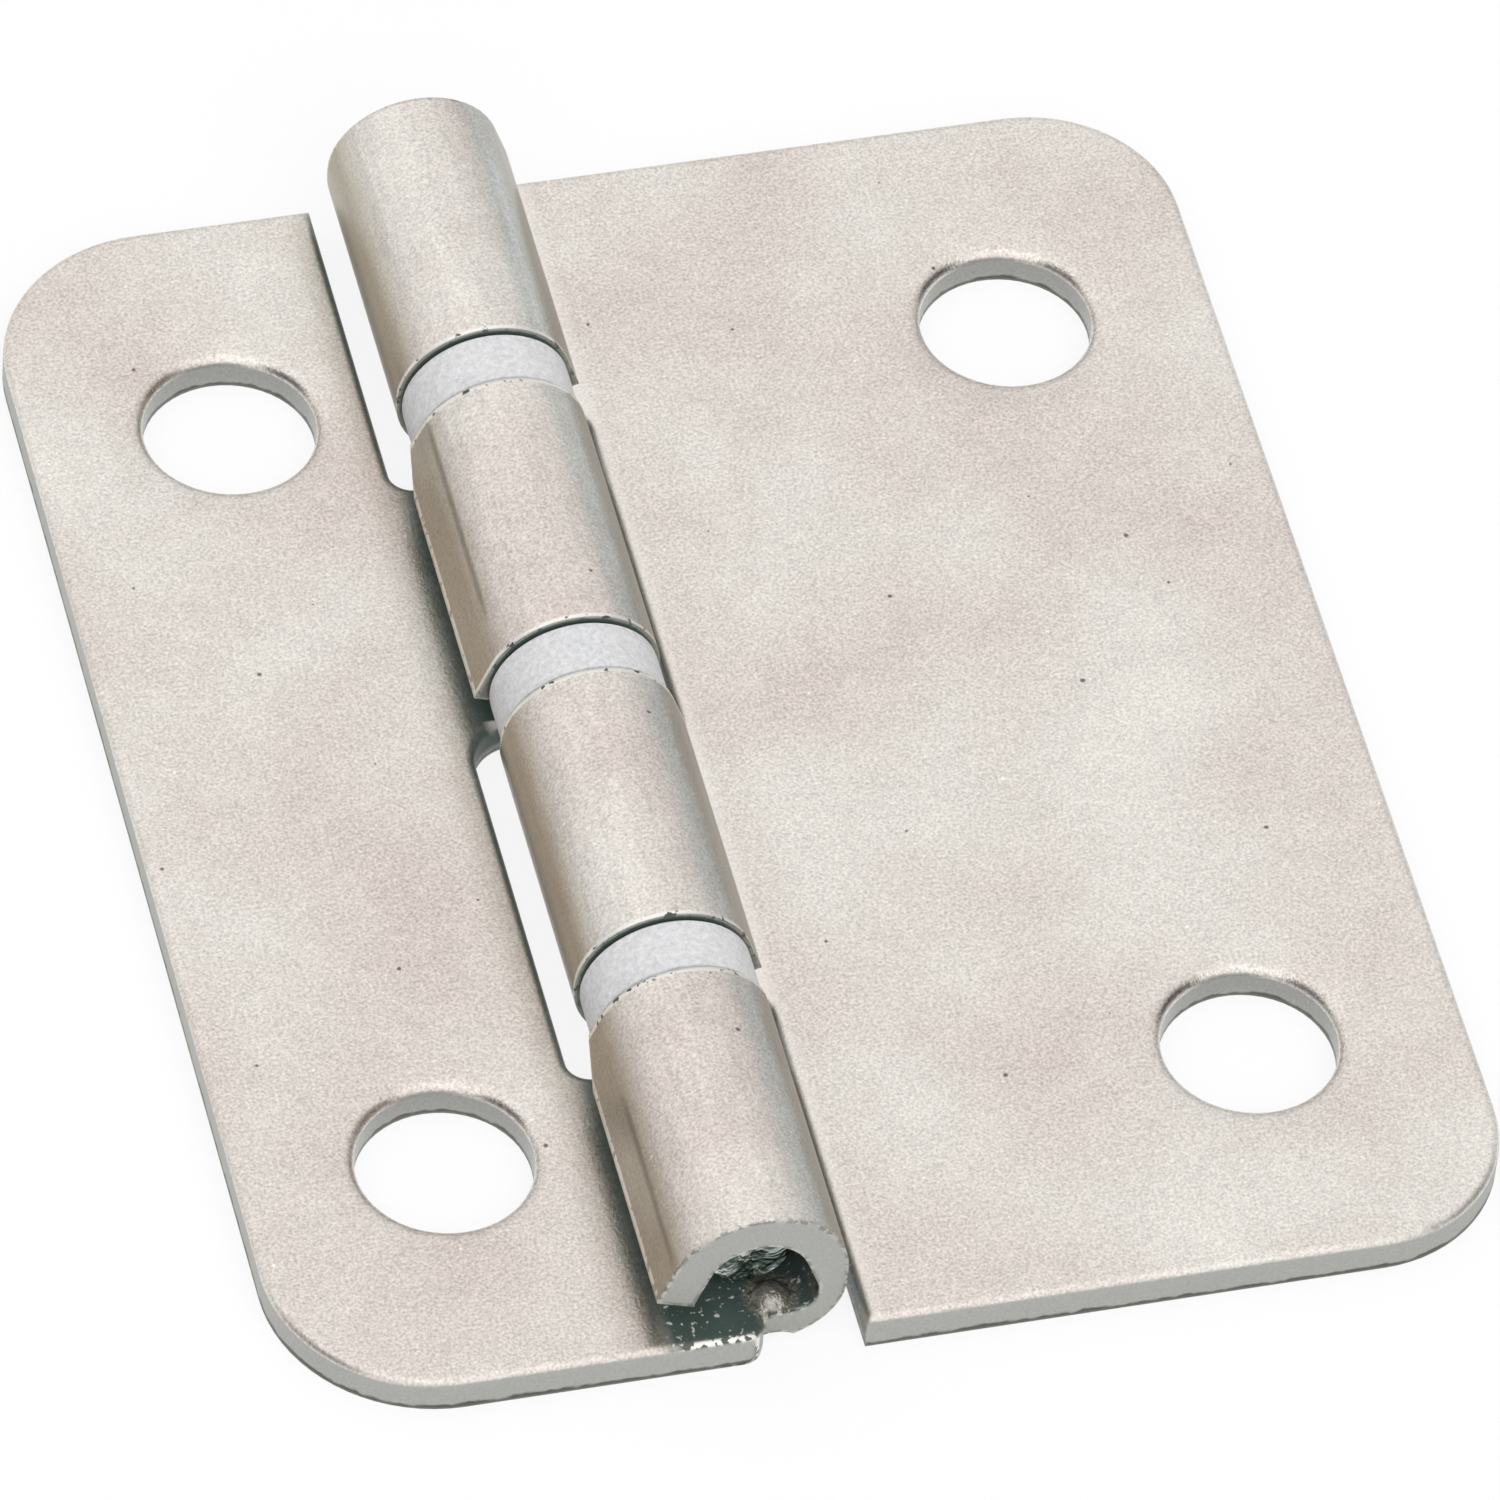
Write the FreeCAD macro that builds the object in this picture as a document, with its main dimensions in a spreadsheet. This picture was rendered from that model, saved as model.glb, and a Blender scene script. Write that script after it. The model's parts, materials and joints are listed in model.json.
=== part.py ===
import FreeCAD, Part
import math
import os
import Sketcher

# Folding door hinge: two leaves of one folded sheet each, rolled round a pin,
# with a plastic ring between neighbouring knuckles.
# The narrow leaf lies towards -X and the wide leaf towards +X, Y runs along the pin,
# and both leaves lie flat on z = 0 with the knuckles standing above them.

# Driving dimensions, in millimetres and degrees
SIZES = {
    "leaf_length": 51.0,
    "sheet_thickness": 1.3,
    "narrow_reach": 15.3,
    "wide_reach": 26.0,
    "narrow_corner_radius": 5.6,
    "wide_corner_radius": 5.0,
    "hole_diameter": 5.9,
    "hole_pitch": 32.6,
    "narrow_hole_inset": 6.95,
    "wide_hole_inset": 7.2,
    "hole_roll_width": 0.45,
    "hole_roll_depth": 0.38,
    "edge_rounding": 0.28,
    "pin_diameter": 3.3,
    "pin_clearance": 0.05,
    "pin_recess": 1.2,
    "pin_chamfer": 0.3,
    "roll_rise": 0.15,
    "narrow_outer_bend": 2.5,
    "narrow_inner_bend": 0.9,
    "wide_outer_bend": 2.9,
    "wide_inner_bend": 1.3,
    "bend_lean": 20.0,
    "tip_flare": 20.0,
    "tip_length": 1.5,
    "tip_cut_along": 1.8,
    "tip_cut_up": 0.7,
    "ring_thickness": 2.2,
    "ring_play": 0.05,
    "ring_inset": 0.12,
    "ring_clearance": 0.1,
    "ring_edge": 0.15,
    "slot_gap": 0.55,
    "slot_near_radius": 0.8,
    "slot_far_radius": 1.6,
    "front_relief": 0.85,
    "relief_start": 0.3,
    "relief_corner_radius": 0.8,
    "stake_offset": 0.7,
    "stake_depth": 0.35,
    "stake_dent_radius": 1.2,
    "stake_lump_radius": 0.7,
    "stake_lump_height": 0.45,
    "stake_lump_setback": 0.75,
    "cut_margin": 2.0,
}

# Sizes that follow from the driving ones, as formulas of the same sheet
DERIVED = {
    "bore_radius": "=pin_diameter / 2 + pin_clearance",
    "roll_radius": "=bore_radius + sheet_thickness",
    "axis_height": "=sheet_thickness + bore_radius + roll_rise",
    "narrow_bend_start": "=roll_radius - narrow_outer_bend",
    "wide_bend_start": "=roll_radius - wide_outer_bend",
    "ring_space": "=ring_thickness + 2 * ring_play",
    "knuckle_length": "=(leaf_length - front_relief - 3 * ring_space) / 4",
    "knuckle_pitch": "=2 * (knuckle_length + ring_space)",
    "slot_wall": "=roll_radius + slot_gap",
    "axis_shift": "=(narrow_reach - wide_reach) / 2",
    "half_length": "=leaf_length / 2",
    "pin_length": "=leaf_length - front_relief - 2 * pin_recess",
    "ring_radius": "=roll_radius - ring_inset",
    "ring_bore_radius": "=pin_diameter / 2 + ring_clearance",
}

TOLERANCE = 1e-4

doc = FreeCAD.newDocument("FoldingDoorHinge")
sheet = doc.addObject("Spreadsheet::Sheet", "Sizes")


def fill_sheet():
    """Write each size to its own row, name in column A and value in column B."""
    row = 1
    for name, value in {**SIZES, **DERIVED}.items():
        sheet.set(f"A{row}", name)
        sheet.set(f"B{row}", str(value))
        sheet.setAlias(f"B{row}", name)
        row += 1
    doc.recompute()


def size(name):
    """Value of one size, read back from the sheet."""
    return float(sheet.get(name))


def number(expression):
    """Value of an expression in the sizes, for a sketch's first drawing."""
    value = sheet.evalExpression(expression)
    return float(getattr(value, "Value", value))


def new_body(name):
    body = doc.addObject("PartDesign::Body", name)
    body.Label = name
    return body


def plane(body, role):
    """One of the body's own origin planes or axes."""
    return next(item for item in body.Origin.OriginFeatures if item.Role == role)


def new_sketch(body, name, role):
    sketch = body.newObject("Sketcher::SketchObject", name)
    sketch.AttachmentSupport = (plane(body, role), [""])
    sketch.MapMode = "FlatFace"
    return sketch


def bind(sketch, label, constraint, expression):
    """Add a dimension to a sketch and tie it to the sheet."""
    index = sketch.addConstraint(constraint)
    sketch.renameConstraint(index, label)
    sketch.setExpression(f"Constraints.{label}", expression)


def place(sketch, label, geometry, point, x_expression, y_expression):
    """Hold a point of the sketch at a place given by two expressions."""
    across = Sketcher.Constraint("DistanceX", -1, 1, geometry, point, number(x_expression))
    bind(sketch, f"{label}_x", across, x_expression)
    along = Sketcher.Constraint("DistanceY", -1, 1, geometry, point, number(y_expression))
    bind(sketch, f"{label}_y", along, y_expression)


def add_rectangle(sketch, label, low_x, low_y, high_x, high_y):
    """Rectangle between two corners, each coordinate an expression."""
    x1, y1, x2, y2 = (number(item) for item in (low_x, low_y, high_x, high_y))
    corners = [(x1, y1), (x2, y1), (x2, y2), (x1, y2)]
    points = [FreeCAD.Vector(x, y, 0) for x, y in corners]
    first = sketch.GeometryCount
    for index in range(4):
        sketch.addGeometry(Part.LineSegment(points[index], points[(index + 1) % 4]), False)
    for index in range(4):
        following = first + (index + 1) % 4
        sketch.addConstraint(Sketcher.Constraint("Coincident", first + index, 2, following, 1))
    for index in (0, 2):
        sketch.addConstraint(Sketcher.Constraint("Horizontal", first + index))
        sketch.addConstraint(Sketcher.Constraint("Vertical", first + index + 1))
    place(sketch, f"{label}_low", first, 1, low_x, low_y)
    place(sketch, f"{label}_high", first + 1, 2, high_x, high_y)


def add_circle(sketch, label, x_expression, y_expression, radius_expression):
    centre = FreeCAD.Vector(number(x_expression), number(y_expression), 0)
    circle = Part.Circle(centre, FreeCAD.Vector(0, 0, 1), number(radius_expression))
    index = sketch.addGeometry(circle, False)
    place(sketch, f"{label}_centre", index, 3, x_expression, y_expression)
    radius = Sketcher.Constraint("Radius", index, number(radius_expression))
    bind(sketch, f"{label}_radius", radius, radius_expression)


def pad(body, name, sketch, length_expression, reverse=False):
    feature = body.newObject("PartDesign::Pad", name)
    feature.Profile = sketch
    feature.Length = number(length_expression)
    feature.setExpression("Length", length_expression)
    feature.Reversed = reverse
    doc.recompute()
    return feature


def pocket_up(body, name, sketch):
    """Cut a sketch on the underside right through the sheet, and check that it cut."""
    before = body.Tip.Shape.Volume
    feature = body.newObject("PartDesign::Pocket", name)
    feature.Profile = sketch
    feature.Type = "ThroughAll"
    feature.Reversed = True
    doc.recompute()
    if feature.Shape.Volume > before - TOLERANCE:
        raise RuntimeError(f"{name} removed nothing")
    return feature


def fillet(body, name, edges, radius_expression):
    feature = body.newObject("PartDesign::Fillet", name)
    feature.Base = (body.getObject(edges[0]), edges[1])
    feature.Radius = number(radius_expression)
    feature.setExpression("Radius", radius_expression)
    doc.recompute()
    return feature


def repeat_along(body, name, feature, pitch_expression):
    """A second copy of a feature, further along the pin."""
    pattern = body.newObject("PartDesign::LinearPattern", name)
    pattern.Originals = [feature]
    pattern.Direction = (plane(body, "Y_Axis"), [""])
    pattern.Length = number(pitch_expression)
    pattern.setExpression("Length", pitch_expression)
    pattern.Occurrences = 2
    body.Tip = pattern
    doc.recompute()


def upright_edges(feature, places):
    """Names of a feature's edges that stand along Z at the given places."""
    names = []
    for index, edge in enumerate(feature.Shape.Edges, start=1):
        ends = [vertex.Point for vertex in edge.Vertexes]
        if len(ends) < 2 or abs(ends[0].z - ends[1].z) < TOLERANCE:
            continue
        for x, y in places:
            if all(math.hypot(end.x - x, end.y - y) < TOLERANCE for end in ends):
                names.append(f"Edge{index}")
    return (feature.Name, names)


def top_edges(feature, finger_end):
    """Names of the edges of the sheet's upper face, but for the holes and the fingers' ends."""
    top = size("sheet_thickness")
    names = []
    for index, edge in enumerate(feature.Shape.Edges, start=1):
        box = edge.BoundBox
        in_top_face = abs(box.ZMin - top) < TOLERANCE and abs(box.ZMax - top) < TOLERANCE
        at_finger_end = box.XMin > finger_end - TOLERANCE
        if in_top_face and not at_finger_end and not edge.isClosed():
            names.append(f"Edge{index}")
    return (feature.Name, names)


def draw_hole_roll(sketch):
    """Section of what a hole's punch draws in: a quarter ellipse, wider than it is deep."""
    centre_x = number("Sizes.hole_diameter / 2 + Sizes.hole_roll_width")
    centre_z = number("Sizes.sheet_thickness - Sizes.hole_roll_depth")
    width = size("hole_roll_width")
    depth = size("hole_roll_depth")
    inner_x = number("Sizes.hole_diameter / 4")
    wall_x = centre_x - width
    top = centre_z + depth
    ellipse = Part.Ellipse(FreeCAD.Vector(centre_x, centre_z, 0), width, depth)
    on_top = FreeCAD.Vector(centre_x, top, 0)
    on_wall = FreeCAD.Vector(wall_x, centre_z, 0)
    above = FreeCAD.Vector(inner_x, top, 0)
    below = FreeCAD.Vector(inner_x, centre_z, 0)
    sketch.addGeometry([
        Part.ArcOfEllipse(ellipse, math.radians(90), math.radians(180)),
        Part.LineSegment(on_wall, below),
        Part.LineSegment(below, above),
        Part.LineSegment(above, on_top),
    ], False)
    roll, floor, inside, lid = range(4)
    start_point, end_point, centre = 1, 2, 3
    width_line = sketch.addGeometry(
        Part.LineSegment(on_wall, FreeCAD.Vector(centre_x + width, centre_z, 0)), True)

    rules = [
        ("Coincident", roll, end_point, floor, start_point),
        ("Coincident", floor, end_point, inside, start_point),
        ("Coincident", inside, end_point, lid, start_point),
        ("Coincident", lid, end_point, roll, start_point),
        ("InternalAlignment:EllipseMajorDiameter", width_line, roll),
        ("Horizontal", width_line),
        ("Horizontal", floor),
        ("Horizontal", lid),
        ("Vertical", inside),
        ("Vertical", roll, centre, roll, start_point),
        ("Horizontal", roll, centre, roll, end_point),
    ]
    for rule in rules:
        sketch.addConstraint(Sketcher.Constraint(*rule))
    place(sketch, "roll_centre", roll, centre, "Sizes.hole_diameter / 2 + Sizes.hole_roll_width",
          "Sizes.sheet_thickness - Sizes.hole_roll_depth")
    deep = Sketcher.Constraint("Distance", inside, depth)
    bind(sketch, "roll_depth", deep, "Sizes.hole_roll_depth")
    wall = Sketcher.Constraint("DistanceX", -1, 1, roll, end_point, wall_x)
    bind(sketch, "wall", wall, "Sizes.hole_diameter / 2")
    inner = Sketcher.Constraint("DistanceX", -1, 1, inside, start_point, inner_x)
    bind(sketch, "inner", inner, "Sizes.hole_diameter / 4")


def roll_hole_edges(body, hole_x):
    """Draw in the upper edge of both holes."""
    section = new_sketch(body, f"{body.Name}_hole_roll", "XZ_Plane")
    section.setExpression("AttachmentOffset.Base.x", hole_x)
    section.setExpression("AttachmentOffset.Base.z", "Sizes.hole_pitch / 2 - Sizes.half_length")
    draw_hole_roll(section)
    before = body.Tip.Shape.Volume
    groove = body.newObject("PartDesign::Groove", f"{body.Name}_front_hole_edge")
    groove.Profile = section
    groove.ReferenceAxis = (section, ["V_Axis"])
    groove.Angle = 360
    doc.recompute()
    if groove.Shape.Volume > before - TOLERANCE:
        raise RuntimeError(f"{groove.Name} removed nothing")
    repeat_along(body, f"{body.Name}_hole_edges", groove, "Sizes.hole_pitch")


def on_circle(radius, angle, x, z):
    """Point of a circle in a sketch, its angle in degrees from the sketch's first axis."""
    turn = math.radians(angle)
    return FreeCAD.Vector(x + radius * math.cos(turn), z + radius * math.sin(turn), 0)


def arc(radius, low, high, x, z):
    circle = Part.Circle(FreeCAD.Vector(x, z, 0), FreeCAD.Vector(0, 0, 1), radius)
    return Part.ArcOfCircle(circle, math.radians(low), math.radians(high))


def add_curl_lines(sketch, side):
    """Draw the knuckle's section: the sheet bends up, rolls over the pin and ends in a tip."""
    axis = size("axis_height")
    outer = size("roll_radius")
    bore = size("bore_radius")
    thick = size("sheet_thickness")
    start = size(f"{side}_bend_start")
    bend = size(f"{side}_outer_bend")
    inner_bend = size(f"{side}_inner_bend")
    lean = size("bend_lean")
    tip_turn = 180 - size("tip_flare")

    roll_end = on_circle(outer, tip_turn, 0, axis)
    bore_end = on_circle(bore, tip_turn, 0, axis)
    tip_run = on_circle(size("tip_length"), tip_turn + 90, 0, 0)
    outer_tip = roll_end + tip_run
    inner_tip = bore_end + tip_run

    # The inner bend touches both the floor and the line that leans out of the bore
    bend_z = thick + inner_bend
    slope = math.radians(lean)
    line_offset = bore + axis * math.sin(slope)
    bend_x = (line_offset - inner_bend - bend_z * math.sin(slope)) / math.cos(slope)

    sketch.addGeometry([
        arc(bend, -90, 0, start, bend),
        Part.LineSegment(FreeCAD.Vector(outer, bend, 0), FreeCAD.Vector(outer, axis, 0)),
        arc(outer, 0, tip_turn, 0, axis),
        Part.LineSegment(roll_end, outer_tip),
        Part.LineSegment(outer_tip, inner_tip),
        Part.LineSegment(inner_tip, bore_end),
        arc(bore, lean, tip_turn, 0, axis),
        Part.LineSegment(on_circle(bore, lean, 0, axis),
                         on_circle(inner_bend, lean, bend_x, bend_z)),
        arc(inner_bend, -90, lean, bend_x, bend_z),
        Part.LineSegment(FreeCAD.Vector(bend_x, thick, 0), FreeCAD.Vector(start, thick, 0)),
        Part.LineSegment(FreeCAD.Vector(start, thick, 0), FreeCAD.Vector(start, 0, 0)),
    ], False)


def draw_curl(sketch, side):
    """Section of a knuckle, with its lines joined and its sizes tied to the sheet."""
    add_curl_lines(sketch, side)
    lower_bend, wall, roll, tip_outside, tip_end, tip_inside = range(6)
    bore_arc, leaning, floor_bend, floor, root = range(6, 11)
    start_point, end_point, centre = 1, 2, 3
    origin, level_axis, upright_axis = -1, -1, -2

    rules = [
        ("Tangent", lower_bend, end_point, wall, start_point),
        ("Tangent", wall, end_point, roll, start_point),
        ("Tangent", roll, end_point, tip_outside, start_point),
        ("Tangent", tip_inside, end_point, bore_arc, end_point),
        ("Tangent", bore_arc, start_point, leaning, start_point),
        ("Tangent", leaning, end_point, floor_bend, end_point),
        ("Tangent", floor_bend, start_point, floor, start_point),
        ("Coincident", tip_outside, end_point, tip_end, start_point),
        ("Coincident", tip_end, end_point, tip_inside, start_point),
        ("Coincident", floor, end_point, root, start_point),
        ("Coincident", root, end_point, lower_bend, start_point),
        ("Coincident", bore_arc, centre, roll, centre),
        ("Vertical", wall),
        ("Vertical", root),
        ("Vertical", lower_bend, centre, lower_bend, start_point),
        ("Horizontal", floor),
        ("Parallel", tip_outside, tip_inside),
        ("Perpendicular", tip_outside, tip_end),
        ("PointOnObject", lower_bend, start_point, level_axis),
        ("PointOnObject", roll, centre, upright_axis),
    ]
    for rule in rules:
        sketch.addConstraint(Sketcher.Constraint(*rule))

    dimensions = {
        "axis_height": ("DistanceY", origin, start_point, roll, centre),
        "roll_radius": ("Radius", roll),
        "bore_radius": ("Radius", bore_arc),
        f"{side}_outer_bend": ("Radius", lower_bend),
        f"{side}_inner_bend": ("Radius", floor_bend),
        "sheet_thickness": ("Distance", root),
        "tip_length": ("Distance", tip_outside),
    }
    for name, target in dimensions.items():
        bind(sketch, name, Sketcher.Constraint(*target, size(name)), f"Sizes.{name}")

    slopes = {
        "tip_slope": (tip_outside, "-90 deg - Sizes.tip_flare * 1 deg"),
        "bore_slope": (leaning, "-90 deg + Sizes.bend_lean * 1 deg"),
    }
    for name, (line, expression) in slopes.items():
        angle = math.radians(number(expression))
        bind(sketch, name, Sketcher.Constraint("Angle", line, angle), expression)


def make_leaf(side, first_knuckle):
    """One leaf in its own frame: flat towards -X, pin above x = 0, knuckles from y = 0."""
    name = f"{side}_leaf"
    body = new_body(name)
    reach = f"Sizes.{side}_reach"
    finger_end = f"Sizes.{side}_bend_start"

    outline = new_sketch(body, f"{name}_outline", "XY_Plane")
    add_rectangle(outline, "blank", f"-{reach}", "0", finger_end, "Sizes.leaf_length")
    blank = pad(body, f"{name}_blank", outline, "Sizes.sheet_thickness")
    back_corners = [(-number(reach), 0), (-number(reach), size("leaf_length"))]
    fillet(body, f"{name}_corners", upright_edges(blank, back_corners), f"Sizes.{side}_corner_radius")

    slots = new_sketch(body, f"{name}_slot_outline", "XY_Plane")
    slot_low = f"{first_knuckle} + Sizes.knuckle_length"
    slot_high = f"{first_knuckle} + Sizes.knuckle_pitch"
    notch_low = f"{slot_high} + Sizes.knuckle_length"
    past_roll = f"{finger_end} + Sizes.cut_margin"
    past_end = "Sizes.leaf_length + Sizes.cut_margin"
    add_rectangle(slots, "slot", "-Sizes.slot_wall", slot_low, past_roll, slot_high)
    add_rectangle(slots, "notch", "-Sizes.slot_wall", notch_low, past_roll, past_end)
    pocket_up(body, f"{name}_slots", slots)
    # Corners of the slots' ends towards y = 0 are near ones, and tighter than the far one
    for label, places in (("near", (slot_low, notch_low)), ("far", (slot_high,))):
        corners = [(-size("slot_wall"), number(item)) for item in places]
        fillet(body, f"{name}_slot_{label}_corners", upright_edges(body.Tip, corners),
               f"Sizes.slot_{label}_radius")

    holes = new_sketch(body, f"{name}_hole_outline", "XY_Plane")
    hole_x = f"Sizes.{side}_hole_inset - {reach}"
    for label, sign in (("front", "-"), ("back", "+")):
        hole_y = f"Sizes.half_length {sign} Sizes.hole_pitch / 2"
        add_circle(holes, label, hole_x, hole_y, "Sizes.hole_diameter / 2")
    pocket_up(body, f"{name}_holes", holes)
    if side == "narrow":
        relieve_front(body)
    round_top_edges(body, number(finger_end))
    roll_hole_edges(body, hole_x)
    roll_knuckles(body, side, first_knuckle)
    stake_knuckle(body, first_knuckle)
    return body


def relieve_front(body):
    """Set the first knuckle back from the leaf's front edge, with a rounded corner."""
    sketch = new_sketch(body, f"{body.Name}_relief_outline", "XY_Plane")
    add_rectangle(sketch, "relief", "Sizes.relief_start", "-Sizes.cut_margin",
                  "Sizes.narrow_bend_start + Sizes.cut_margin", "Sizes.front_relief")
    cut = pocket_up(body, f"{body.Name}_relief", sketch)
    corner = [(size("relief_start"), 0)]
    fillet(body, f"{body.Name}_relief_corner", upright_edges(cut, corner),
           "Sizes.relief_corner_radius")


def round_top_edges(body, finger_end):
    """Round the edges of the upper face, where the blanking die draws the sheet in."""
    edges = top_edges(body.Tip, finger_end)
    fillet(body, f"{body.Name}_edge_rounding", edges, "Sizes.edge_rounding")


def roll_knuckles(body, side, first_knuckle):
    """Roll the two fingers of a leaf into knuckles."""
    section = new_sketch(body, f"{body.Name}_curl", "XZ_Plane")
    section.setExpression("AttachmentOffset.Base.z", f"-({first_knuckle})")
    draw_curl(section, side)
    knuckle = pad(body, f"{body.Name}_knuckle", section, "Sizes.knuckle_length", reverse=True)
    repeat_along(body, f"{body.Name}_knuckles", knuckle, "Sizes.knuckle_pitch")


def cut_tip_corners(body, first_knuckle):
    """Slant the far corner of each tip, where the finger was cropped before it was rolled."""
    ends = [number(f"{first_knuckle} + Sizes.knuckle_length + {index} * Sizes.knuckle_pitch")
            for index in range(2)]
    rolled = body.Tip
    names = []
    for index, edge in enumerate(rolled.Shape.Edges, start=1):
        box = edge.BoundBox
        at_end = any(abs(box.YMin - end) + abs(box.YMax - end) < TOLERANCE for end in ends)
        across = abs(edge.Length - size("sheet_thickness")) < TOLERANCE
        if at_end and across and box.XMax < -size("bore_radius"):
            names.append(f"Edge{index}")
    if len(names) != len(ends):
        raise RuntimeError(f"{body.Name} has {len(names)} tip corners")
    cut = body.newObject("PartDesign::Chamfer", f"{body.Name}_tip_corners")
    cut.Base = (rolled, names)
    cut.ChamferType = "Two distances"
    cut.setExpression("Size", "Sizes.tip_cut_up")
    cut.setExpression("Size2", "Sizes.tip_cut_along")
    doc.recompute()


def add_ball(body, kind, name, radius, x, y, z):
    ball = body.newObject(f"PartDesign::{kind}Sphere", name)
    ball.setExpression("Radius", radius)
    ball.setExpression("Placement.Base.x", x)
    ball.setExpression("Placement.Base.y", y)
    ball.setExpression("Placement.Base.z", z)
    doc.recompute()


def stake_knuckle(body, first_knuckle):
    """Punch the first knuckle's floor up in front of the pin, so that the pin can't leave."""
    add_ball(body, "Additive", f"{body.Name}_stake_lump", "Sizes.stake_lump_radius",
             "Sizes.stake_offset", f"{first_knuckle} + Sizes.stake_lump_setback",
             "Sizes.sheet_thickness + Sizes.stake_lump_height - Sizes.stake_lump_radius")
    add_ball(body, "Subtractive", f"{body.Name}_stake_dent", "Sizes.stake_dent_radius",
             "Sizes.stake_offset", first_knuckle,
             "Sizes.stake_depth - Sizes.stake_dent_radius")


def chamfer_rims(body, name, feature, diameter, size_expression):
    """Break the edges of both end circles of that diameter."""
    rims = [f"Edge{index}" for index, edge in enumerate(feature.Shape.Edges, start=1)
            if edge.isClosed() and abs(edge.Length - math.pi * diameter) < TOLERANCE]
    if len(rims) != 2:
        raise RuntimeError(f"{name} found {len(rims)} rims")
    chamfer = body.newObject("PartDesign::Chamfer", name)
    chamfer.Base = (feature, rims)
    chamfer.setExpression("Size", size_expression)
    doc.recompute()


def make_pin():
    """Plain rod with chamfered ends, from its own front end along Y."""
    body = new_body("pin")
    section = new_sketch(body, "pin_section", "XZ_Plane")
    add_circle(section, "rod", "0", "0", "Sizes.pin_diameter / 2")
    rod = pad(body, "pin_rod", section, "Sizes.pin_length", reverse=True)
    chamfer_rims(body, "pin_ends", rod, size("pin_diameter"), "Sizes.pin_chamfer")
    return body


def make_ring(name):
    """Plastic ring washer, from its own front face along Y."""
    body = new_body(name)
    section = new_sketch(body, f"{name}_section", "XZ_Plane")
    add_circle(section, "rim", "0", "0", "Sizes.ring_radius")
    add_circle(section, "bore", "0", "0", "Sizes.ring_bore_radius")
    ring = pad(body, f"{name}_blank", section, "Sizes.ring_thickness", reverse=True)
    chamfer_rims(body, f"{name}_edges", ring, 2 * size("ring_radius"), "Sizes.ring_edge")
    return body


def stand(body, y_expression, z_expression="0", turn=0):
    """Put a sub-part in the hinge's frame, on the pin's line across X."""
    body.Placement = FreeCAD.Placement(FreeCAD.Vector(), FreeCAD.Rotation(turn, 0, 0))
    body.setExpression("Placement.Base.x", "Sizes.axis_shift")
    body.setExpression("Placement.Base.y", y_expression)
    body.setExpression("Placement.Base.z", z_expression)


def build():
    fill_sheet()
    narrow = make_leaf("narrow", "Sizes.front_relief")
    cut_tip_corners(narrow, "Sizes.front_relief")
    stand(narrow, "-Sizes.half_length")
    wide = make_leaf("wide", "0")
    stand(wide, "Sizes.half_length", turn=180)

    pin = make_pin()
    stand(pin, "Sizes.front_relief + Sizes.pin_recess - Sizes.half_length", "Sizes.axis_height")
    bodies = [narrow, wide, pin]
    for index, name in enumerate(("ring_front", "ring_middle", "ring_back")):
        ring = make_ring(name)
        place_along = (f"Sizes.front_relief - Sizes.half_length + Sizes.ring_play"
                       f" + {index + 1} * Sizes.knuckle_length + {index} * Sizes.ring_space")
        stand(ring, place_along, "Sizes.axis_height")
        bodies.append(ring)
    doc.recompute()
    return bodies


def check(bodies):
    for item in doc.Objects:
        if "Invalid" in item.State or "Error" in item.State:
            raise RuntimeError(f"{item.Label} failed: {item.State}")
    for body in bodies:
        if body.Shape.isNull() or not body.Shape.isValid():
            raise RuntimeError(f"{body.Label} has no valid shape")
        if len(body.Shape.Solids) != 1:
            raise RuntimeError(f"{body.Label} is {len(body.Shape.Solids)} solids")


def write(bodies):
    os.makedirs("parts", exist_ok=True)
    for body in bodies:
        body.Shape.exportStep(f"parts/{body.Label}.step")
        box = body.Shape.optimalBoundingBox()
        print(f"{body.Label}: {body.Shape.Volume:.1f} mm3,"
              f" x {box.XMin:.2f} to {box.XMax:.2f}, y {box.YMin:.2f} to {box.YMax:.2f},"
              f" z {box.ZMin:.2f} to {box.ZMax:.2f}")


hinge = build()
check(hinge)
write(hinge)
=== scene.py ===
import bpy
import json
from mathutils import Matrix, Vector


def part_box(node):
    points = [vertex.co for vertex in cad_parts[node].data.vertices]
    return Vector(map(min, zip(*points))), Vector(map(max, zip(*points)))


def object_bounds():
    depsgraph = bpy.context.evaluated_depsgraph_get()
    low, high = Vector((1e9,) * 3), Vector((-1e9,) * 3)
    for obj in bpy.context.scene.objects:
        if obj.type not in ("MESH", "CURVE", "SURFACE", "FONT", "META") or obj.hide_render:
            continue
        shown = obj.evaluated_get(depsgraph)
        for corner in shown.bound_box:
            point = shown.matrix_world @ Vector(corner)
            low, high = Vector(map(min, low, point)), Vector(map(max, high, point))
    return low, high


bl_info = {
    "name": "Folding Door Hinge",
    "version": (1, 0, 0),
    "blender": (4, 5, 0),
    "location": "View3D > Sidebar > Hinge",
    "description": "Finish, light and camera for a folding door hinge",
    "category": "Material",
}

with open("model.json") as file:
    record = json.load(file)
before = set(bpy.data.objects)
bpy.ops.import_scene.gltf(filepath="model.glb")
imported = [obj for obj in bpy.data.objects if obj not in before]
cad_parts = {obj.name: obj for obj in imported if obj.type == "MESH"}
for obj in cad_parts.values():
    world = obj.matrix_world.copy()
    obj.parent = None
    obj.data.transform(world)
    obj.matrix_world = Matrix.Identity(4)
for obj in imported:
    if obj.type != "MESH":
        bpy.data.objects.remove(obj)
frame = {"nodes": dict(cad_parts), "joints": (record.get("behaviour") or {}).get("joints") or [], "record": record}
cad_low, cad_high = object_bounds()

import json
import math
from types import SimpleNamespace

import bpy
from mathutils import Matrix, Vector

MM = 0.001

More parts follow.
